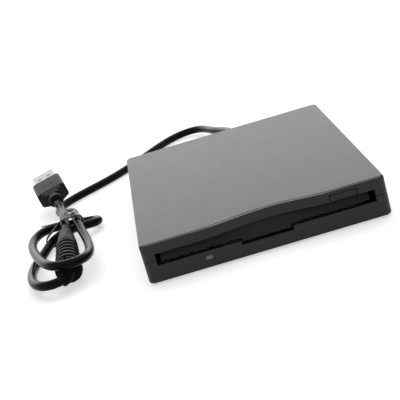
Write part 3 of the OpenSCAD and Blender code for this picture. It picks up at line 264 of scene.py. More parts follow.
@dataclass(frozen=True)
class Moulded(Finish):
    """Injection-moulded plastic with an eroded grain and faint clouds."""

    grain: float
    depth: float
    gloss: float = 0.5
    cloud: ClassVar[float] = 9
    clouded: ClassVar[float] = 0.7
    grained: ClassVar[float] = 0.3

    def values(self, graph: Graph) -> dict[str, Any]:
        """A fine grain in the normal and the roughness, and clouds in the colour.

        Args:
            graph: the material's graph.

        Returns:
            The shader's inputs.
        """
        grain = graph.noise(self.grain, 3)
        clouds = graph.noise(self.cloud, 4)
        return {
            "Base Color": self.shades(graph, self.clouded * clouds + self.grained * grain),
            "Roughness": self.worn((0.16, grain), (0.06, clouds)),
            "Specular IOR Level": self.gloss,
            "Normal": graph.bump(grain, self.depth),
        }


@dataclass(frozen=True)
class Rubbery(Finish):
    """Soft black plastic of the lead: satin, with a faint skin and dull patches."""

    gloss: float
    light: ClassVar[float] = 1.3
    skin: ClassVar[float] = 0.6
    skin_deep: ClassVar[float] = 0.012
    patch: ClassVar[float] = 14

    def values(self, graph: Graph) -> dict[str, Any]:
        """A slight skin in the normal and dull patches in the roughness.

        Args:
            graph: the material's graph.

        Returns:
            The shader's inputs.
        """
        skin = graph.noise(self.skin, 3)
        patches = graph.noise(self.patch, 3)
        return {
            "Base Color": self.shades(graph, patches),
            "Roughness": self.worn((0.14, patches), (0.08, skin)),
            "Specular IOR Level": self.gloss,
            "Normal": graph.bump(skin, self.skin_deep),
        }


@dataclass(frozen=True)
class Rolled(Finish):
    """Rolled or turned metal: fine lines along one axis and faint spangles."""

    lines: Place = (1, 40, 1)
    spangle: float = 3.0
    dark: ClassVar[float] = 0.85
    light: ClassVar[float] = 1.1
    line_long: ClassVar[float] = 6
    line_deep: ClassVar[float] = 0.006

    def values(self, graph: Graph) -> dict[str, Any]:
        """Lines in the normal and the roughness, and spangles in the colour.

        Args:
            graph: the material's graph.

        Returns:
            The shader's inputs.
        """
        lines = graph.noise(self.line_long, 3, self.lines)
        spangles = graph.cells(self.spangle)
        return {
            "Base Color": self.shades(graph, 0.5 * spangles + 0.5 * lines),
            "Metallic": 1.0,
            "Roughness": self.worn((0.18, lines), (0.1, spangles)),
            "Normal": graph.bump(lines, self.line_deep),
        }


@dataclass(frozen=True)
class Wound(Finish):
    """Enamelled copper wire, layer on layer."""

    dark: ClassVar[float] = 0.35
    light: ClassVar[float] = 1.1
    pitch: ClassVar[float] = 0.14
    enamel: ClassVar[float] = 0.5
    wire_deep: ClassVar[float] = 0.05
    gap_rough: ClassVar[float] = 0.15

    def values(self, graph: Graph) -> dict[str, Any]:
        """The wires as waves in the normal, with painted shade darkening the gaps between them.

        Args:
            graph: the material's graph.

        Returns:
            The shader's inputs.
        """
        wires = graph.bands(self.pitch, "Z")
        return {
            # The colour falls to its dark shade in the gaps between the wires: painted shade.
            "Base Color": self.shades(graph, wires),
            "Metallic": 1.0,
            "Roughness": self.rough + self.gap_rough * (1 - wires),
            "Coat Weight": self.enamel,
            "Normal": graph.bump(wires, self.wire_deep),
        }


@dataclass(frozen=True)
class Laminate(Finish):
    """Board with solder mask over its tracks, and tinned pads."""

    dark: ClassVar[float] = 0.75
    light: ClassVar[float] = 1.3
    pad: ClassVar[Colour] = (0.75, 0.72, 0.62)
    pad_pitch: ClassVar[float] = 2.1
    pad_radius: ClassVar[float] = 0.16
    track_pitches: ClassVar[tuple[float, float]] = (1.3, 2.6)
    track_over: ClassVar[float] = 0.42
    raised: ClassVar[float] = 0.03
    haze: ClassVar[float] = 1.5

    def values(self, graph: Graph) -> dict[str, Any]:
        """Tracks as raised lines in a lighter green, and pads that are metal.

        Args:
            graph: the material's graph.

        Returns:
            The shader's inputs.
        """
        across, along = self.track_pitches
        tracks = graph.bands(across, "X") * graph.bands(along, "Y") > self.track_over
        pads = graph.cells(self.pad_pitch) < self.pad_radius
        return {
            "Base Color": graph.mix(pads, self.shades(graph, tracks), (*self.pad, 1)),
            "Metallic": pads,
            "Roughness": self.worn((0.1, graph.noise(self.haze))),
            "Normal": graph.bump(tracks + pads, self.raised),
        }


@dataclass(frozen=True)
class Striped(Finish):
    """Flat cable: side by side conductors under a pale sheath."""

    dark: ClassVar[float] = 0.55
    light: ClassVar[float] = 1.0
    pitch: ClassVar[float] = 1.0
    rib_deep: ClassVar[float] = 0.12
    haze: ClassVar[float] = 2

    def values(self, graph: Graph) -> dict[str, Any]:
        """Rounded conductors in the normal, and grey lines of painted shade in the grooves between
        them.

        Args:
            graph: the material's graph.

        Returns:
            The shader's inputs.
        """
        ribs = graph.bands(self.pitch, "X")
        return {
            # The colour is darker in the grooves between the conductors: painted shade.
            "Base Color": self.shades(graph, ribs),
            "Roughness": self.worn((0.1, graph.noise(self.haze))),
            "Normal": graph.bump(ribs, self.rib_deep),
        }


@dataclass(frozen=True)
class Film(Finish):
    """Glossy plastic of the tie and the lamp's lens: clouded and a little see-through."""

    clear: float
    coat: float
    dark: ClassVar[float] = 0.7
    light: ClassVar[float] = 1.15
    cloud: ClassVar[float] = 1.6
    wrinkle: ClassVar[float] = 0.08

    def values(self, graph: Graph) -> dict[str, Any]:
        """Clouds in the colour, wrinkles in the normal.

        Args:
            graph: the material's graph.

        Returns:
            The shader's inputs.
        """
        clouds = graph.noise(self.cloud, 3)
        return {
            "Base Color": self.shades(graph, clouds),
            "Roughness": self.worn((0.12, clouds)),
            "Transmission Weight": self.clear,
            "Coat Weight": self.coat,
            "Normal": graph.bump(clouds, self.wrinkle),
        }


class Palette(Enum):
    """The finishes of the drive and of its lead."""

    CASE = Moulded("case_plastic", grey(0.016), 0.41, 0.4, 0.025, 0.3)
    # The flap's tint is darker than the case's: painted shade from the lip above it.
    FLAP = Moulded("flap_plastic_painted_shade", grey(0.009), 0.42, 0.3, 0.01, 0.2)
    LEAD = Rubbery("lead_plastic", grey(0.006), 0.22, 0.05)
    OVERMOULD = Rubbery("overmould_plastic", grey(0.012), 0.5, 0.2)
    SHEATH = Rubbery("sheath_plastic", grey(0.006), 0.38, 0.03)
    FEET = Rubbery("foot_rubber", grey(0.02), 0.7, 0.3)
    ZINC = Rolled("zinc_sheet", (0.62, 0.63, 0.65), 0.42)
    STEEL = Rolled("bright_steel", (0.7, 0.71, 0.73), 0.3, (40, 1, 1), 1.5)
    NICKEL = Rolled("nickel_shell", (0.36, 0.355, 0.35), 0.36, (30, 1, 30), 4.0)
    BRASS = Rolled("turned_brass", (0.8, 0.62, 0.3), 0.32, (1, 1, 30), 2.0)
    GOLD = Rolled("gold_contact", (0.9, 0.7, 0.3), 0.25, (30, 1, 30), 1.0)
    COPPER = Wound("copper_winding", (0.72, 0.36, 0.16), 0.35)
    BOARD = Laminate("solder_mask", (0.03, 0.2, 0.08), 0.4)
    CHIP = Moulded("chip_epoxy", (0.03, 0.03, 0.032), 0.55, 0.15, 0.01)
    DARK = Moulded("dark_plastic", (0.04, 0.04, 0.045), 0.5, 0.25, 0.01)
    GREY = Moulded("grey_plastic", (0.16, 0.16, 0.18), 0.5, 0.3, 0.01)
    PALE = Moulded("pale_plastic", (0.72, 0.72, 0.68), 0.45, 0.3, 0.008)
    RIBBON = Striped("flat_cable_sheath", (0.7, 0.7, 0.72), 0.5)
    # Pale tint of the tie's twisted ends and tail: painted glare on a tie that is near black, like
    # its band.
    TIE = Film("tie_glare_film", (0.55, 0.55, 0.56), 0.24, 0.2, 0.6)
    LENS = Film("lamp_lens", (0.2, 0.205, 0.2), 0.4, 0.1, 0.1)
    BAND = Film("tie_band_film", grey(0.008), 0.6, 0.0, 0.0)

    @property
    def material(self) -> bpy.types.Material:
        """The finish's material."""
        return self.value.material()


# Modelling


class Bench:
    """Blender's modelling operators, as used by hand."""

    SIDES: ClassVar[int] = 48
    TURNED_SIDES: ClassVar[int] = 64
    TUBE_STEPS: ClassVar[int] = 6
    CORNER_STEPS: ClassVar[int] = 5
    BALL: ClassVar[dict[str, int]] = {"segments": 20, "ring_count": 10}
    CREASE: ClassVar[float] = 40
    FLAT: ClassVar[float] = 0.4
    WEIGHT: ClassVar[int] = 80

    @staticmethod
    def clear() -> None:
        """Deselects every object."""
        bpy.ops.object.select_all(action="DESELECT")

    def pick_object(self, piece: bpy.types.Object) -> None:
        """Selects one object and makes it the active one.

        Args:
            piece: the object.
        """
        self.clear()
        piece.select_set(True)
        bpy.context.view_layer.objects.active = piece

    def edit(self) -> None:
        """Goes into edit mode with all selected."""
        bpy.ops.object.mode_set(mode="EDIT")
        bpy.ops.mesh.select_all(action="SELECT")

    @staticmethod
    def done() -> None:
        """Goes back to object mode."""
        bpy.ops.object.mode_set(mode="OBJECT")

    @staticmethod
    def pick_faces(test: Callable[[bmesh.types.BMFace], bool]) -> None:
        """Selects faces in edit mode.

        Args:
            test: says whether a face is to be selected.
        """
        mesh = bpy.context.edit_object.data
        shape = bmesh.from_edit_mesh(mesh)
        bpy.ops.mesh.select_all(action="DESELECT")
        bpy.ops.mesh.select_mode(type="FACE")
        for face in [face for face in shape.faces if test(face)]:
            face.select_set(True)
        shape.select_flush_mode()
        bmesh.update_edit_mesh(mesh)

    def loft(self, name: str, corner: float | None,
             stations: Sequence[Place]) -> bpy.types.Object:
        """Solid along +Z through sections, each extruded from the one before.

        Args:
            name: name of the piece.
            corner: radius of a rectangle's corners in millimetres, or None for a round section.
            stations: height, width and thickness of each section, in millimetres.

        Returns:
            The closed solid.
        """
        height, width, thick = stations[0]
        self.clear()
        if corner is None:
            bpy.ops.mesh.primitive_circle_add(vertices=self.SIDES, radius=0.5 * MM,
                                              fill_type="NGON")
        else:
            bpy.ops.mesh.primitive_plane_add(size=MM)
        piece = bpy.context.object
        piece.name = piece.data.name = name
        self.edit()
        bpy.ops.transform.resize(value=(width, thick, 1), center_override=(0, 0, 0))
        if corner is not None:
            bpy.ops.mesh.bevel(affect="VERTICES", offset=corner * MM, segments=self.CORNER_STEPS)
        bpy.ops.transform.translate(value=(0, 0, height * MM))
        for (low, wide_a, thick_a), (high, wide_b, thick_b) in zip(stations, stations[1:]):
            bpy.ops.mesh.extrude_region_move(
                TRANSFORM_OT_translate={"value": (0, 0, (high - low) * MM)})
            bpy.ops.transform.resize(value=(wide_b / wide_a, thick_b / thick_a, 1),
                                     center_override=(0, 0, high * MM))
        bpy.ops.mesh.select_all(action="SELECT")
        bpy.ops.mesh.normals_make_consistent(inside=False)
        self.done()
        return piece

    def lathe(self, name: str, loop: Sequence[tuple[float, float]]) -> bpy.types.Object:
        """Ring-shaped solid round +Z.

        Args:
            name: name of the piece.
            loop: closed section, as radii and heights in millimetres.

        Returns:
            The closed solid.
        """
        self.clear()
        radius, height = loop[0]
        bpy.ops.mesh.primitive_circle_add(vertices=self.TURNED_SIDES, radius=radius * MM)
        piece = bpy.context.object
        piece.name = piece.data.name = name
        self.edit()
        bpy.ops.transform.translate(value=(0, 0, height * MM))
        for (r_a, low), (r_b, high) in zip(loop, [*loop[1:], loop[0]]):
            bpy.ops.mesh.extrude_region_move(
                TRANSFORM_OT_translate={"value": (0, 0, (high - low) * MM)})
            bpy.ops.transform.resize(value=(r_b / r_a, r_b / r_a, 1),
                                     center_override=(0, 0, high * MM))
        bpy.ops.mesh.select_all(action="SELECT")
        bpy.ops.mesh.remove_doubles(threshold=TOUCHING * MM)
        bpy.ops.mesh.normals_make_consistent(inside=False)
        self.done()
        return piece

    def tube(self, name: str, path: Sequence[tuple[Vector, float]]) -> bpy.types.Object:
        """Solid tube.

        Args:
            name: name of the piece.
            path: points that it runs through, with the radius at each, in millimetres.

        Returns:
            The closed solid.
        """
        curve = bpy.data.curves.new(name, "CURVE")
        curve.dimensions = "3D"
        curve.bevel_depth = MM
        curve.bevel_resolution = self.TUBE_STEPS
        curve.use_fill_caps = True
        line = curve.splines.new("POLY")
        line.points.add(len(path) - 1)
        for point, (place, radius) in zip(line.points, path):
            point.co = (*(place * MM), 1)
            point.radius = radius
        piece = bpy.data.objects.new(name, curve)
        bpy.context.scene.collection.objects.link(piece)
        self.pick_object(piece)
        bpy.ops.object.convert(target="MESH")
        self.edit()
        bpy.ops.mesh.remove_doubles(threshold=TOUCHING * MM)
        bpy.ops.mesh.normals_make_consistent(inside=False)
        self.done()
        return bpy.context.object

    def lay(self, piece: bpy.types.Object, where: Matrix) -> bpy.types.Object:
        """Moves a piece to its place, in its mesh.

        Args:
            piece: the piece, modelled round the origin.
            where: its turn and place, in metres.

        Returns:
            The piece, with its object at the origin.
        """
        self.pick_object(piece)
        piece.matrix_world = where
        bpy.ops.object.transform_apply(location=True, rotation=True, scale=True)
        return piece

    def join(self, name: str, pieces: Sequence[bpy.types.Object]) -> bpy.types.Object:
        """Joins pieces into the first one.

        Args:
            name: name of the joined piece.
            pieces: the pieces, which have their finishes if these differ.

        Returns:
            The joined piece.
        """
        self.clear()
        for piece in pieces:
            piece.select_set(True)
        bpy.context.view_layer.objects.active = pieces[0]
        bpy.ops.object.join()
        pieces[0].name = pieces[0].data.name = name
        return pieces[0]

    def modify(self, piece: bpy.types.Object, kind: str, **settings: Any) -> None:
        """Adds a modifier and applies it.

        Args:
            piece: the piece to change.
            kind: type of the modifier.
            settings: the modifier's properties.
        """
        self.pick_object(piece)
        bpy.ops.object.modifier_add(type=kind)
        modifier = piece.modifiers[-1]
        for name, value in settings.items():
            setattr(modifier, name, value)
        bpy.ops.object.modifier_apply(modifier=modifier.name)

    def soften(self, piece: bpy.types.Object, width: float, segments: int = 2,
               angle: float = 35) -> None:
        """Rounds the edges that are sharper than an angle, by a width in millimetres."""
        self.modify(piece, "BEVEL", width=width * MM, segments=segments, limit_method="ANGLE",
                    angle_limit=math.radians(angle), miter_outer="MITER_ARC",
                    use_clamp_overlap=True)

    def smooth(self, piece: bpy.types.Object, angle: float = CREASE) -> None:
        """Smooth shading up to an angle."""
        self.pick_object(piece)
        bpy.ops.object.shade_smooth_by_angle(angle=math.radians(angle))

    def even_out(self, piece: bpy.types.Object) -> None:
        """Smooth shading that keeps large flat faces flat."""
        self.smooth(piece)
        self.modify(piece, "WEIGHTED_NORMAL", keep_sharp=True, weight=self.WEIGHT)

    def round_edges(self, piece: bpy.types.Object,
                    test: Callable[[Vector, Vector, Vector], bool], width: float) -> int:
        """Rounds chosen edges.

        Args:
            piece: the piece to work on.
            test: says of an edge's middle in millimetres and its two face normals, the more
                upright one first, whether the edge is to be rounded.
            width: how far the rounding reaches, in millimetres.

        Returns:
            The number of edges rounded.
        """
        self.pick_object(piece)
        self.edit()
        mesh = bpy.context.edit_object.data
        shape = bmesh.from_edit_mesh(mesh)
        bpy.ops.mesh.select_all(action="DESELECT")
        bpy.ops.mesh.select_mode(type="EDGE")
        count = 0
        for edge in shape.edges:
            normals = [face.normal for face in edge.link_faces if face.normal.length > 0.5]
            if len(normals) != 2 or len(edge.link_faces) != 2:
                continue
            first, second = sorted(normals, key=lambda normal: -abs(normal.z))
            middle = (edge.verts[0].co + edge.verts[1].co) / 2 / MM
            if (first.angle(second) > math.radians(self.CREASE)
                    and test(middle, first, second)):
                edge.select_set(True)
                count += 1
        bmesh.update_edit_mesh(mesh)
        if count:
            bpy.ops.mesh.bevel(offset=width * MM, segments=3, affect="EDGES",
                               clamp_overlap=False)
        self.done()
        return count

    def ball(self, centre: Vector, radius: float) -> bpy.types.Object:
        """Small ball, for a dimple.

        Args:
            centre: its place, in millimetres.
            radius: its radius, in millimetres.

        Returns:
            The ball.
        """
        self.clear()
        bpy.ops.mesh.primitive_uv_sphere_add(radius=radius * MM, location=centre * MM, **self.BALL)
        return bpy.context.object

    def cut(self, piece: bpy.types.Object, cutter: bpy.types.Object) -> None:
        """Cuts one piece out of another."""
        self.modify(piece, "BOOLEAN", operation="DIFFERENCE", object=cutter, solver="EXACT")
        bpy.data.objects.remove(cutter)

    def twin(self, node: str, name: str) -> bpy.types.Object:
        """Merged copy of a CAD node's mesh, with its flat faces whole again.

        Args:
            node: name of the node.
            name: name of the copy.

        Returns:
            The copy, with no body or slot yet.
        """
        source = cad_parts[node]
        piece = bpy.data.objects.new(name, source.data.copy())
        bpy.context.scene.collection.objects.link(piece)
        piece.data.name = name
        self.pick_object(piece)
        self.edit()
        bpy.ops.mesh.customdata_custom_splitnormals_clear()
        bpy.ops.mesh.remove_doubles(threshold=2 * TOUCHING * MM)
        bpy.ops.mesh.dissolve_limited(angle_limit=math.radians(self.FLAT))
        self.done()
        return piece


BENCH = Bench()


def dress(piece: bpy.types.Object, finish: Palette) -> None:
    """Gives a piece its finish in every material slot.

    Args:
        piece: the piece, with or without slots.
        finish: the finish.
    """
    if not piece.material_slots:
        piece.data.materials.append(None)
    for slot in piece.material_slots:
        slot.material = finish.material


def mount(piece: bpy.types.Object, finish: Palette | None, body: str, slot: str,
          *nodes: str) -> bpy.types.Object:
    """Finishes a new piece and ties it to the frame.

    Args:
        piece: the new piece, in place.
        finish: its finish, or None where its parts have theirs.
        body: the CAD body that it rides on.
        slot: the material slot of the record; not used.
        nodes: the CAD nodes that it stands for.

    Returns:
        The piece.
    """
    if finish:
        dress(piece, finish)
    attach(piece, body)
    if nodes:
        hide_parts(*nodes)
    log.info("%s rides on %s for %s", piece.name, body, ", ".join(nodes) or "itself")
    return piece


# Camera, floor and light


@dataclass
class Studio:
    """White sweep with soft light, seen as in the photograph.

    A broad panel stands behind the drive, so that the tops of things are lighter than their fronts.
    """

    eye: Place = (-28.274, -491.265, 163.630)
    right: Place = (0.9590736, -0.09794518, -0.26567759)
    up: Place = (0.28284934, 0.28766699, 0.91501036)
    back: Place = (-0.01319418, -0.952709, 0.30359754)
    lens: float = 99.89
    sight: float = 20000
    floor_half: float = 4000
    paper: tuple[float, float] = (0.78, 0.82)
    paper_cloud: float = 30
    paper_glow: float = 0.56
    ambient: float = 0.42
    sun: float = 0.9
    sun_turn: Place = (-25, 6, 0)
    sun_spread: float = 50
    panel: float = 16
    panel_size: tuple[float, float] = (3200, 900)
    panel_at: Place = (-300, 2000, 600)

    def camera(self) -> None:
        """The photograph's camera."""
        camera = bpy.data.objects.new("camera", bpy.data.cameras.new("camera"))
        bpy.context.scene.collection.objects.link(camera)
        camera.data.lens = self.lens
        camera.data.clip_end = self.sight * MM
        turn = Matrix([self.right, self.up, self.back]).transposed()
        camera.matrix_world = Matrix.Translation(MM * Vector(self.eye)) @ turn.to_4x4()
        bpy.context.scene.camera = camera

    def floor(self) -> None:
        """A pale floor, matte so that it keeps soft shadows."""
        BENCH.clear()
        bpy.ops.mesh.primitive_plane_add(size=2 * self.floor_half * MM)
        floor = bpy.context.object
        floor.name = "floor"
        material = bpy.data.materials.new("floor_paper")
        material.use_nodes = True
        graph = Graph(material.node_tree)
        graph.surface({
            "Base Color": graph.blend(graph.noise(self.paper_cloud), *map(grey, self.paper)),
            "Roughness": 1.0, "Specular IOR Level": 0.0, "Emission Strength": 1.0,
            "Emission Color": graph.mix(graph.seen(), (*grey(0), 1), (*grey(self.paper_glow), 1))})
        floor.data.materials.append(material)

    def light(self) -> None:
        """A lamp overhead, a panel behind, and a white world for the camera and the gloss."""
        lamp = bpy.data.objects.new("overhead", bpy.data.lights.new("overhead", "SUN"))
        bpy.context.scene.collection.objects.link(lamp)
        lamp.data.energy = self.sun
        lamp.data.angle = math.radians(self.sun_spread)
        lamp.matrix_world = Euler([math.radians(a) for a in self.sun_turn]).to_matrix().to_4x4()
        panel = bpy.data.objects.new("panel", bpy.data.lights.new("panel", "AREA"))
        bpy.context.scene.collection.objects.link(panel)
        panel.data.energy = self.panel
        panel.data.shape = "RECTANGLE"
        panel.data.size, panel.data.size_y = (MM * side for side in self.panel_size)
        stand = MM * Vector(self.panel_at)
        panel.matrix_world = (Matrix.Translation(stand)
                              @ stand.to_track_quat("Z", "Y").to_matrix().to_4x4())
        world = bpy.data.worlds.new("studio")
        world.use_nodes = True
        graph = Graph(world.node_tree)
        glow = graph.node("ShaderNodeBackground", {}, {
            "Color": (*grey(1), 1), "Strength": self.ambient + (1 - self.ambient) * graph.seen()})
        graph.node("ShaderNodeOutputWorld", {}, {"Surface": glow["Background"]})
        bpy.context.scene.world = world
        bpy.context.scene.view_settings.view_transform = "Standard"


# Lead

ROUTE: list[Place] = [
    (6, 83, 10.2), (6, 91, 10.1), (5.3, 100, 9), (2.8, 109, 7.6), (-0.4, 118, 6.4),
    (-2.8, 127, 5.3), (-5, 136.5, 4.4), (-9.5, 145.5, 3.5), (-18, 148.5, 2.6), (-26, 144.5, 2.3),
    (-32.5, 137, 2.3), (-39, 128.5, 2.3), (-46, 118, 2.3), (-54, 108, 2.3), (-62.5, 98.5, 2.3),
    (-72, 90.5, 2.3), (-81, 83.5, 2.3), (-89, 76.5, 2.2), (-93, 68, 2.2), (-92, 59, 2.5),
    (-88.5, 51.5, 3.9), (-85, 44, 6), (-82.8, 36, 8.2), (-81.6, 28, 9.8), (-80.9, 20, 10.6),
    (-80, 12, 9.9), (-78.5, 3, 8.8), (-76.6, -7, 8.1), (-75.1, -17.5, 8), (-74.3, -28, 8.6),
    (-74.5, -37.5, 9.8), (-77.5, -45.5, 11), (-84, -49, 11.8), (-90.3, -45.5, 11.8),
    (-93.8, -37.5, 11), (-96.4, -28.5, 10), (-98.8, -18.5, 8.9), (-101, -8, 7.9),
    (-102.6, 2.5, 7.3), (-102.4, 12.5, 7.3), (-98.5, 21, 7.4), (-92, 25.4, 6.6), (-86, 29, 4.7),
    (-80, 33, 3), (-73.5, 32.7, 2.4), (-70.4, 26.6, 3.5), (-73, 20.4, 4.7), (-79, 18.8, 5.5),
    (-85.5, 18.8, 5.3), (-91.6, 16.3, 4.5), (-95.4, 10.5, 3.5), (-97.8, 4, 2.5), (-100, -2.5, 2.2),
    (-102, -9.5, 2.2), (-103, -17.5, 2.3), (-102.8, -26.5, 3), (-101.6, -35.5, 4),
    (-99.6, -43.3, 4.9), (-96, -49.8, 5.7), (-90.4, -52.3, 6.2), (-85.7, -49.3, 6.3),
    (-84.4, -43, 6.3), (-84.75, -31, 6.95), (-85.1, -19, 7.6), (-85.45, -7, 8.25),
    (-85.8, 5, 8.9), (-86.1, 14, 9.9), (-86.7, 24, 10.4), (-87.6, 33, 10.2), (-88.7, 42, 9.5),
    (-89.9, 50, 8.8), (-90.8, 54.4, 9.1), (-91.5, 58.5, 9.7)]


def on_route(u: float) -> Vector:
    """Point of the lead, as its cubic spline has it.

    Args:
        u: place along the lead, counted in the route's points from the gland.

    Returns:
        The point in millimetres.
    """
    ends = [Vector(ROUTE[0]) * 2 - Vector(ROUTE[1]), *map(Vector, ROUTE),
            Vector(ROUTE[-1]) * 2 - Vector(ROUTE[-2])]
    start = min(int(u), len(ROUTE) - 2)
    t = u - start
    weights = ((1 - t) ** 3, 3 * t ** 3 - 6 * t ** 2 + 4, -3 * t ** 3 + 3 * t ** 2 + 3 * t + 1,
               t ** 3)
    return sum((w * p for w, p in zip(weights, ends[start:start + 4])), Vector()) / 6


@dataclass
class Bead:
    """Ferrite bead overmoulded on the lead, with ribs and a bent relief."""

    near: int = 61
    far: int = 65
    largest: float = 6.1
    middle: float = 4.7
    end: float = 2.9
    bore: float = 2.25
    mouth: float = 2.6
    nose: float = 3.0
    taper_from: float = 32.0
    nose_steps: int = 6
    mouth_deep: float = 3.0
    tip_edge: float = 0.5
    rib_from: float = 3.6
    rib_pitch: float = 4.1
    ribs: int = 6
    rib: tuple[tuple[float, float], ...] = ((0.0, 0.0), (0.06, 0.12), (0.16, 0.7), (0.38, 0.7),
                                            (0.5, 0.12), (0.6, 0.0))
    dots: tuple[float, float] = (2.2, 28.8)
    dot: float = 0.75
    relief: tuple[float, float] = (60.8, 59.6)
    fins: int = 5
    fin: float = 3.1
    core: float = 2.55
    fin_shares: tuple[float, float, float] = (0.5, 0.58, 0.92)
    fin_edge: float = 0.12
    fin_angle: float = 30
    crease: float = 28

    def radius(self, s: float, length: float) -> float:
        """Outer radius, without the ribs.

        Args:
            s: distance from the near end.
            length: length of the bead.

        Returns:
            The radius.
        """
        if s < self.taper_from:
            return self.largest - (self.largest - self.middle) * s / self.taper_from
        share = (s - self.taper_from) / (length - self.taper_from)
        return self.middle - (self.middle - self.end) * share

    def loop(self, length: float) -> list[tuple[float, float]]:
        """Section of the bead: mouth, round nose, ribs, taper and bore.

        Args:
            length: length of the bead.

        Returns:
            Radii and heights of a closed loop.
        """
        line = [(self.bore, self.mouth_deep), (self.mouth, 0.0)]
        for step in range(self.nose_steps + 1):
            turn = math.radians(90 * step / self.nose_steps)
            line.append((self.largest - self.nose * (1 - math.sin(turn)),
                         self.nose * (1 - math.cos(turn))))
        for i in range(self.ribs):
            s = self.rib_from + i * self.rib_pitch
            r = self.radius(s, length)
            line += [(r - deep, s + self.rib_pitch * share) for share, deep in self.rib]
        line += [(self.middle, self.taper_from), (self.end + 0.1, length - self.tip_edge),
                 (self.end - 0.2, length), (self.bore, length)]
        return line

    def build(self) -> list[bpy.types.Object]:
        """Lays the bead on the lead's straight run.

        Returns:
            The bead and its relief.
        """
        start, stop = Vector(ROUTE[self.near]), Vector(ROUTE[self.far])
        axis = stop - start
        bead = BENCH.lathe("bead", self.loop(axis.length))
        turn = axis.to_track_quat("Z", "Y").to_matrix().to_4x4()
        BENCH.lay(bead, Matrix.Translation(start * MM) @ turn)
        along = axis.normalized()
        for s in self.dots:
            top = start + along * s + Vector((0, 0, self.radius(s, axis.length)))
            BENCH.cut(bead, BENCH.ball(top, self.dot))
        BENCH.smooth(bead, self.crease)
        mount(bead, Palette.SHEATH, "case", "black_soft", "ferrite_bead")
        return [bead, self.bent_relief()]

    def bent_relief(self) -> bpy.types.Object:
        """Finned relief that follows the lead's bend.

        Returns:
            The relief.
        """
        first, last = self.relief
        crest, valley, end = self.fin_shares
        step = (last - first) / self.fins
        path: list[tuple[float, float]] = []
        for i in range(self.fins):
            u = first + i * step
            path += [(u, self.fin), (u + crest * step, self.fin), (u + valley * step, self.core),
                     (u + end * step, self.core)]
        fins = BENCH.tube("bead_fins", [(on_route(u), radius) for u, radius in path])
        BENCH.soften(fins, self.fin_edge, angle=self.fin_angle)
        BENCH.smooth(fins)
        return mount(fins, Palette.SHEATH, "case", "black_soft", "bead_relief")


@dataclass
class Gland:
    """Ribbed gland where the lead leaves the rear wall."""

    start: Place = (6, 66.5, 10.193)
    neck: float = 3.2
    flange: float = 4.0
    tip: float = 2.9
    inside: float = 3.0
    wall: float = 1.5
    lip: float = 1.5
    length: float = 12.0
    rings: int = 4
    chamfer: float = 0.2
    edge: float = 0.15
    ring: tuple[float, float, float, float] = (0.95, 0.7, 0.6, 0.1)
    root: float = 0.86
    crease: float = 32

    def build(self) -> bpy.types.Object:
        """The gland as one lofted solid along +Y.

        Returns:
            The gland.
        """
        outer = self.inside + self.wall
        sleeve = outer + self.lip
        edge, chamfer = self.edge, self.chamfer
        stations = [(0.0, self.neck - chamfer), (chamfer, self.neck),
                    (self.inside - self.lip, self.neck), (self.inside - self.lip, self.flange),
                    (self.inside, self.flange), (self.inside, self.neck), (outer, self.neck),
                    (outer, self.flange - edge), (outer + edge, self.flange),
                    (sleeve - edge, self.flange), (sleeve, self.flange - edge)]
        step = (self.length - self.lip) / (self.rings + 1)
        for i in range(1, self.rings + 1):
            s = sleeve + i * step
            r = self.flange - i * (self.flange - self.tip) / self.rings
            stations += [(s - share * step, wide) for share, wide
                         in zip(self.ring, (r * self.root, r * self.root, r, r))]
        end = outer + self.length
        stations += [(end - step, self.tip * self.root), (end - chamfer, self.tip * self.root),
                     (end, self.tip * 0.8)]
        gland = BENCH.loft("gland", None, [(s, 2 * r, 2 * r) for s, r in stations])
        turn = Matrix.Rotation(math.radians(-90), 4, "X")
        BENCH.lay(gland, Matrix.Translation(MM * Vector(self.start)) @ turn)
        BENCH.smooth(gland, self.crease)
        return mount(gland, Palette.SHEATH, "case", "black_soft", "cable_gland")


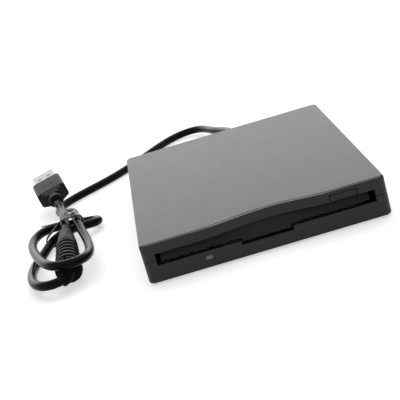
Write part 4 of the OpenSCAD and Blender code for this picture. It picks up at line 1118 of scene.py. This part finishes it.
@dataclass
class Tie:
    """Plastic-coated wire tie round four strands of the bundle, its ends twisted."""

    strands: tuple[tuple[float, float], ...] = ((-86.15, 9.8), (-80.2, 10.05), (-91.4, 4.4),
                                                (-94, 3.9))
    front: float = 12.5
    back: float = 15.5
    around: float = 2.6
    thick: float = 0.6
    knot: Place = (-79, 15, 12.9)
    knot_turn: Place = (62, 0, -52)
    knot_wide: float = 2.3
    knot_length: float = 7.8
    steps: int = 20
    twist: float = 15.0
    tail_from: Place = (-87.2, 14, 12.2)
    tail_to: Place = (-97.3, 18.6, 11.0)
    tail_wide: float = 2.8
    tail_tip: float = 0.3
    corner: float = 0.2

    def band(self) -> bpy.types.Object:
        """Band drawn tight round the strands.

        Returns:
            The band.
        """
        rods = []
        for x, z in self.strands:
            BENCH.clear()
            bpy.ops.mesh.primitive_cylinder_add(
                vertices=32, radius=self.around * MM, depth=(self.back - self.front) * MM,
                location=(x * MM, (self.front + self.back) / 2 * MM, z * MM),
                rotation=(math.radians(90), 0, 0))
            rods.append(bpy.context.object)
        band = BENCH.join("tie_band", rods)
        BENCH.lay(band, band.matrix_world.copy())
        BENCH.edit()
        bpy.ops.mesh.convex_hull()
        BENCH.pick_faces(lambda face: abs(face.normal.y) > FACING)
        bpy.ops.mesh.delete(type="FACE")
        BENCH.done()
        BENCH.modify(band, "SOLIDIFY", thickness=self.thick * MM, offset=1, use_even_offset=True)
        BENCH.soften(band, self.corner, 3, 50)
        return band

    def twisted(self) -> bpy.types.Object:
        """The two ends twisted together.

        Returns:
            The twist.
        """
        step = self.knot_length / self.steps
        BENCH.clear()
        bpy.ops.mesh.primitive_plane_add(size=MM)
        knot = bpy.context.object
        BENCH.edit()
        bpy.ops.transform.resize(value=(self.knot_wide, self.thick, 1), center_override=(0, 0, 0))
        bpy.ops.mesh.bevel(affect="VERTICES", offset=self.corner * MM, segments=3)
        for i in range(1, self.steps + 1):
            bpy.ops.mesh.extrude_region_move(TRANSFORM_OT_translate={"value": (0, 0, step * MM)})
            bpy.ops.transform.rotate(value=math.radians(self.twist), orient_axis="Z",
                                     center_override=(0, 0, i * step * MM))
        bpy.ops.mesh.select_all(action="SELECT")
        bpy.ops.mesh.normals_make_consistent(inside=False)
        BENCH.done()
        turn = Euler([math.radians(a) for a in self.knot_turn]).to_matrix().to_4x4()
        return BENCH.lay(knot, Matrix.Translation(MM * Vector(self.knot)) @ turn)

    def tail(self) -> bpy.types.Object:
        """Flat end of the tie that sticks out to the left.

        Returns:
            The end.
        """
        start = Vector(self.tail_from)
        run = Vector(self.tail_to) - start
        wide, thick = self.tail_wide, self.thick
        strip = BENCH.loft("tie_tail", self.corner, [
            (0, wide, thick), (0.5 * run.length, wide, thick),
            (run.length - self.tail_tip, wide, thick), (run.length, 0.8 * wide, 0.6 * thick)])
        turn = run.to_track_quat("Z", "Y").to_matrix().to_4x4()
        return BENCH.lay(strip, Matrix.Translation(MM * start) @ turn)

    def build(self) -> bpy.types.Object:
        """The tie in one piece.

        Returns:
            The tie.
        """
        band, knot, tail = self.band(), self.twisted(), self.tail()
        dress(band, Palette.BAND)
        # The knot and tail get the pale film, which paints glare; the band keeps the tie's
        # near-black.
        dress(knot, Palette.TIE)
        dress(tail, Palette.TIE)
        tie = BENCH.join("wire_tie", [band, knot, tail])
        BENCH.smooth(tie)
        return mount(tie, None, "case", "flap_black", "twist_tie")


@dataclass
class Plug:
    """Moulded plug with a steel shell, modelled along +Z and laid on the lead's end."""

    turn: Place = (9, -11, 8.8)
    collar: float = 3.7
    collar_long: float = 3.0
    neck: float = 3.1
    neck_to: float = 4.0
    steps: tuple[tuple[float, float, float], ...] = ((6.0, 9.36, 6.8), (8.0, 12.48, 7.36))
    wide: float = 15.6
    thick: float = 8.0
    corner: float = 1.6
    long: float = 23.0
    rim: float = 0.6
    rim_long: float = 0.3
    step_rim: float = 0.5
    step_rim_long: float = 0.25
    grip_rim: float = 0.7
    grip_rim_long: float = 0.35
    grip_margin: float = 2.0
    grip_frame: tuple[float, float] = (0.35, 0.25)
    grip_deep: float = 0.6
    dimple: float = 0.66
    dimple_over: float = 0.2
    dimple_x: float = 2.0
    dimple_at: float = 15.0
    shell_wide: float = 12.0
    shell_thick: float = 4.5
    shell_seat: float = 4.0
    shell_edge: float = 0.06
    crease: float = 30

    def place(self) -> Matrix:
        """Turns +Z to the plug's own direction and moves it to the lead's end.

        Returns:
            The turn and place, in metres.
        """
        turn = Euler([math.radians(a) for a in self.turn]).to_matrix().to_4x4()
        return (Matrix.Translation(MM * Vector(ROUTE[-1])) @ turn
                @ Matrix.Rotation(math.radians(-90), 4, "X"))

    def body(self) -> bpy.types.Object:
        """Collar, stepped shoulders and grip in one moulding.

        Returns:
            The moulding along +Z.
        """
        wide, small = 2 * self.collar, 2 * self.collar - self.rim
        rings = [(0, small), (self.rim_long, wide), (self.collar_long - self.rim_long, wide),
                 (self.collar_long, small), (self.collar_long, 2 * self.neck),
                 (self.neck_to, 2 * self.neck)]
        collar = BENCH.loft("plug_collar", None, [(s, d, d) for s, d in rings])
        pieces = [collar]
        low = self.neck_to
        for i, (high, wide, thick) in enumerate(self.steps):
            pieces.append(BENCH.loft(f"plug_step_{i}", self.corner, [
                (low, wide - self.step_rim, thick - self.step_rim),
                (low + self.step_rim_long, wide, thick), (high, wide, thick)]))
            low = high
        panel = low + self.grip_margin, self.long - self.grip_margin
        full = [low + self.grip_rim_long, *panel, self.long - self.grip_rim_long]
        ends = self.wide - self.grip_rim, self.thick - self.grip_rim
        grip = BENCH.loft("plug_grip", self.corner, [
            (low, *ends), *((s, self.wide, self.thick) for s in full), (self.long, *ends)])
        self.press_grips(grip, *panel)
        self.bore(grip)
        return BENCH.join("plug_moulding", [grip, *pieces])

    def press_grips(self, grip: bpy.types.Object, low: float, high: float) -> None:
        """Sinks a panel into each side.

        Args:
            grip: the grip along +Z.
            low: where the panels start, in millimetres.
            high: where they end.
        """
        BENCH.pick_object(grip)
        BENCH.edit()
        BENCH.pick_faces(lambda face: abs(face.normal.x) > FACING
                         and low * MM < face.calc_center_median().z < high * MM)
        for width, depth in zip(self.grip_frame, (0, -self.grip_deep)):
            bpy.ops.mesh.inset(thickness=width * MM, depth=depth * MM)
        BENCH.done()

    def bore(self, grip: bpy.types.Object) -> None:
        """Opens the seat of the shell and the two dimples on top.

        Args:
            grip: the grip along +Z.
        """
        seat = BENCH.loft("seat", 0.5, [
            (self.long - self.shell_seat, self.shell_wide, self.shell_thick),
            (self.long + 1, self.shell_wide, self.shell_thick)])
        BENCH.cut(grip, seat)
        for x in (-self.dimple_x, self.dimple_x):
            over = -self.thick / 2 - self.dimple_over
            BENCH.cut(grip, BENCH.ball(Vector((x, over, self.dimple_at)), self.dimple))

    def build(self) -> list[bpy.types.Object]:
        """The moulding, and the shell with softened edges.

        Returns:
            Both pieces.
        """
        body = BENCH.lay(self.body(), self.place())
        BENCH.smooth(body, self.crease)
        mount(body, Palette.OVERMOULD, "case", "black_soft", "plug_body")
        shell = BENCH.twin("plug_shell", "plug_sleeve")
        BENCH.soften(shell, self.shell_edge)
        BENCH.even_out(shell)
        mount(shell, Palette.NICKEL, "case", "shell_steel", "plug_shell")
        return [body, shell]


@dataclass
class Lead:
    """The lead with all that is on it."""

    diameter: float = 4.2
    length: float = 630.0
    round_steps: int = 5
    steps: int = 8
    gland: Gland = field(default_factory=Gland)
    bead: Bead = field(default_factory=Bead)
    tie: Tie = field(default_factory=Tie)
    plug: Plug = field(default_factory=Plug)

    def line(self) -> bpy.types.Object:
        """The lead itself: one smooth curve near the route's points.

        Returns:
            The lead.
        """
        curve = bpy.data.curves.new("lead", "CURVE")
        curve.dimensions = "3D"
        curve.bevel_depth = self.diameter / 2 * MM
        curve.bevel_resolution = self.round_steps
        curve.resolution_u = self.steps
        curve.use_fill_caps = True
        spline = curve.splines.new("NURBS")
        first, second = Vector(ROUTE[0]), Vector(ROUTE[1])
        last, before = Vector(ROUTE[-1]), Vector(ROUTE[-2])
        points = [2 * first - second, *map(Vector, ROUTE), 2 * last - before]
        spline.points.add(len(points) - 1)
        for point, place in zip(spline.points, points):
            point.co = (*(place * MM), 1)
        spline.order_u = 4
        spline.use_endpoint_u = False
        spline.use_smooth = True
        lead = bpy.data.objects.new("lead", curve)
        bpy.context.scene.collection.objects.link(lead)
        return mount(lead, Palette.LEAD, "case", "black_soft", "cord_lead", "cord_bundle",
                     "cord_tail")

    def build(self) -> None:
        """The lead first, then its pieces."""
        lead = self.line()
        self.gland.build()
        pieces = [*self.bead.build(), self.tie.build(), *self.plug.build(),
                  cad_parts["plug_tongue"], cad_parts["plug_contacts"]]


# Case


@dataclass
class Shell:
    """Mouldings that show: covers, bezel, flap, button and lens."""

    edge: float = 0.22
    fine_edge: float = 0.1
    button_edge: float = 0.3
    front: float = -71.0
    top: float = 17.5
    side: float = 51.1
    skirt: float = 15.4
    edge_round: float = 0.8
    lip: float = 1.525
    scoop_deep: float = 4.0
    scoop_middle: float = 2.0
    scoop_half: float = 30.0
    groove: float = 0.4
    sunk: float = 0.14
    steps: int = 40
    parting: float = 10.193
    parting_edge: float = 0.4
    parting_near: float = 0.4
    corner_x: float = 48.5
    corner_y: float = -68.0
    corner: float = 3.0
    slot_half: float = 46.2
    posts_to: float = -58.0
    slack: float = 0.1
    corner_turns: tuple[float, ...] = (30, 60, 90)

    def scoop(self, x: float) -> float:
        """How far the scoop sets the lip back at an X."""
        share = min(1.0, abs(x - self.scoop_middle) / self.scoop_half)
        return self.scoop_deep * (1 + math.cos(math.pi * share)) / 2

    def seam(self) -> bpy.types.Object:
        """Cutter along the seam of the cover and the lip, down to both sides.

        Returns:
            The cutter.
        """
        y, r = self.front + self.lip, self.edge_round
        half = self.side - r
        turns = [math.radians(a) for a in self.corner_turns]
        inner = r - self.sunk
        end = [*((half + inner * math.sin(a), self.top - r + inner * math.cos(a)) for a in turns),
               (half + inner, self.skirt)]
        line = [Vector((-x, y, z)) for x, z in reversed(end)]
        for i in range(self.steps + 1):
            x = half * (2 * i / self.steps - 1)
            line.append(Vector((x, y + self.scoop(x), self.top - self.sunk)))
        line += [Vector((x, y, z)) for x, z in end]
        return BENCH.tube("seam_cutter", [(point, self.groove) for point in line])

    def moulding(self, node: str, name: str, finish: Palette, body: str, slot: str,
                 edge: float) -> bpy.types.Object:
        """A CAD moulding with its edges softened and its seam opened.

        Args:
            node: the CAD node that it stands for.
            name: name of the piece.
            finish: its finish.
            body: the CAD body that it rides on.
            slot: the material slot of the record.
            edge: how far its edges are rounded, in millimetres.

        Returns:
            The piece.
        """
        piece = BENCH.twin(node, name)
        count = BENCH.round_edges(piece, self.is_parting, self.parting_edge)
        log.info("%s: %d parting edges", name, count)
        BENCH.soften(piece, edge)
        if node in ("top_cover", "front_bezel"):
            BENCH.cut(piece, self.seam())
        BENCH.even_out(piece)
        return mount(piece, finish, body, slot, node)

    def is_parting(self, middle: Vector, level: Vector, wall: Vector) -> bool:
        """Outer edge where the bezel's posts meet the base.

        Args:
            middle: the edge's middle, in millimetres.
            level: normal of its more level face.
            wall: normal of its other face.

        Returns:
            Whether the edge is on the parting line.
        """
        out = Vector((abs(middle.x) - self.corner_x, self.corner_y - middle.y))
        wide = self.corner - self.slack
        outer = max(out) > wide or (min(out) > 0 and out.length > wide)
        return (outer and abs(level.z) > FACING and abs(wall.z) < 0.2
                and middle.y < self.posts_to and abs(middle.x) > self.slot_half
                and abs(middle.z - self.parting) < self.parting_near)

    def build(self) -> None:
        """All the mouldings."""
        for node, name in (("top_cover", "cover"), ("bottom_case", "base"),
                           ("front_bezel", "bezel")):
            self.moulding(node, name, Palette.CASE, "case", "black_case", self.edge)
        self.moulding("door_flap", "flap", Palette.FLAP, "door", "flap_black", self.edge)
        self.moulding("eject_button", "button", Palette.CASE, "eject", "black_case",
                      self.button_edge)
        self.moulding("led_lens", "lens", Palette.LENS, "case", "lens", self.fine_edge)
        self.moulding("rubber_feet", "feet", Palette.FEET, "case", "feet", self.edge)


# Mechanism


@dataclass
class Mechanism:
    """Nodes of the CAD part that keep their shape and get their finish."""

    finishes: dict[Palette, tuple[str, ...]] = field(default_factory=lambda: {
        Palette.ZINC: ("chassis", "shield_cover", "disk_carrier", "eject_slide", "trigger_lever",
                       "spindle_rotor", "rod_clamps", "motor_bracket", "stepper_motor"),
        Palette.STEEL: ("case_screws", "chassis_screws", "door_spring", "slide_springs",
                        "lever_spring", "spindle_hub", "arm_pin", "guide_rods", "lead_screw"),
        Palette.BRASS: ("lever_clip", "spindle_bush", "drive_pin"),
        Palette.COPPER: ("stator_coils", "lead_wires"),
        Palette.BOARD: ("spindle_board", "main_board", "usb_board", "lamp_board"),
        Palette.CHIP: ("main_board_chips", "usb_board_chips"),
        Palette.DARK: ("lower_head", "upper_head", "track_sensor", "switch_housings"),
        Palette.GREY: ("head_carriage", "head_arm"),
        Palette.PALE: ("write_protect_plunger", "density_plunger", "disk_in_plunger",
                       "plug_tongue"),
        Palette.RIBBON: ("flat_cable",),
        Palette.LENS: ("lamp",),
        Palette.GOLD: ("plug_contacts",),
    })

    def build(self) -> None:
        """Dresses the nodes."""
        for finish, nodes in self.finishes.items():
            for node in nodes:
                dress(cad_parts[node], finish)
            log.info("%s on %s", finish.name.lower(), ", ".join(nodes))


def bare(nodes: Iterable[bpy.types.Object]) -> list[str]:
    """Shown nodes that have no finish of the palette.

    Args:
        nodes: the CAD nodes.

    Returns:
        Their names.
    """
    known = {finish.value.name for finish in Palette}
    return [node.name for node in nodes if not node.hide_render
            and any(slot.material is None or slot.material.name not in known
                    for slot in node.material_slots)]


def main() -> None:
    """Builds the studio and the drive."""
    logging.basicConfig(level=logging.INFO, format="%(message)s")
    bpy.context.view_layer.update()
    studio = Studio()
    studio.camera()
    Lead().build()
    Shell().build()
    Mechanism().build()
    studio.floor()
    studio.light()
    left = bare(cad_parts.values())
    if left:
        log.warning("no finish: %s", ", ".join(left))


if __name__ == "__main__":
    main()
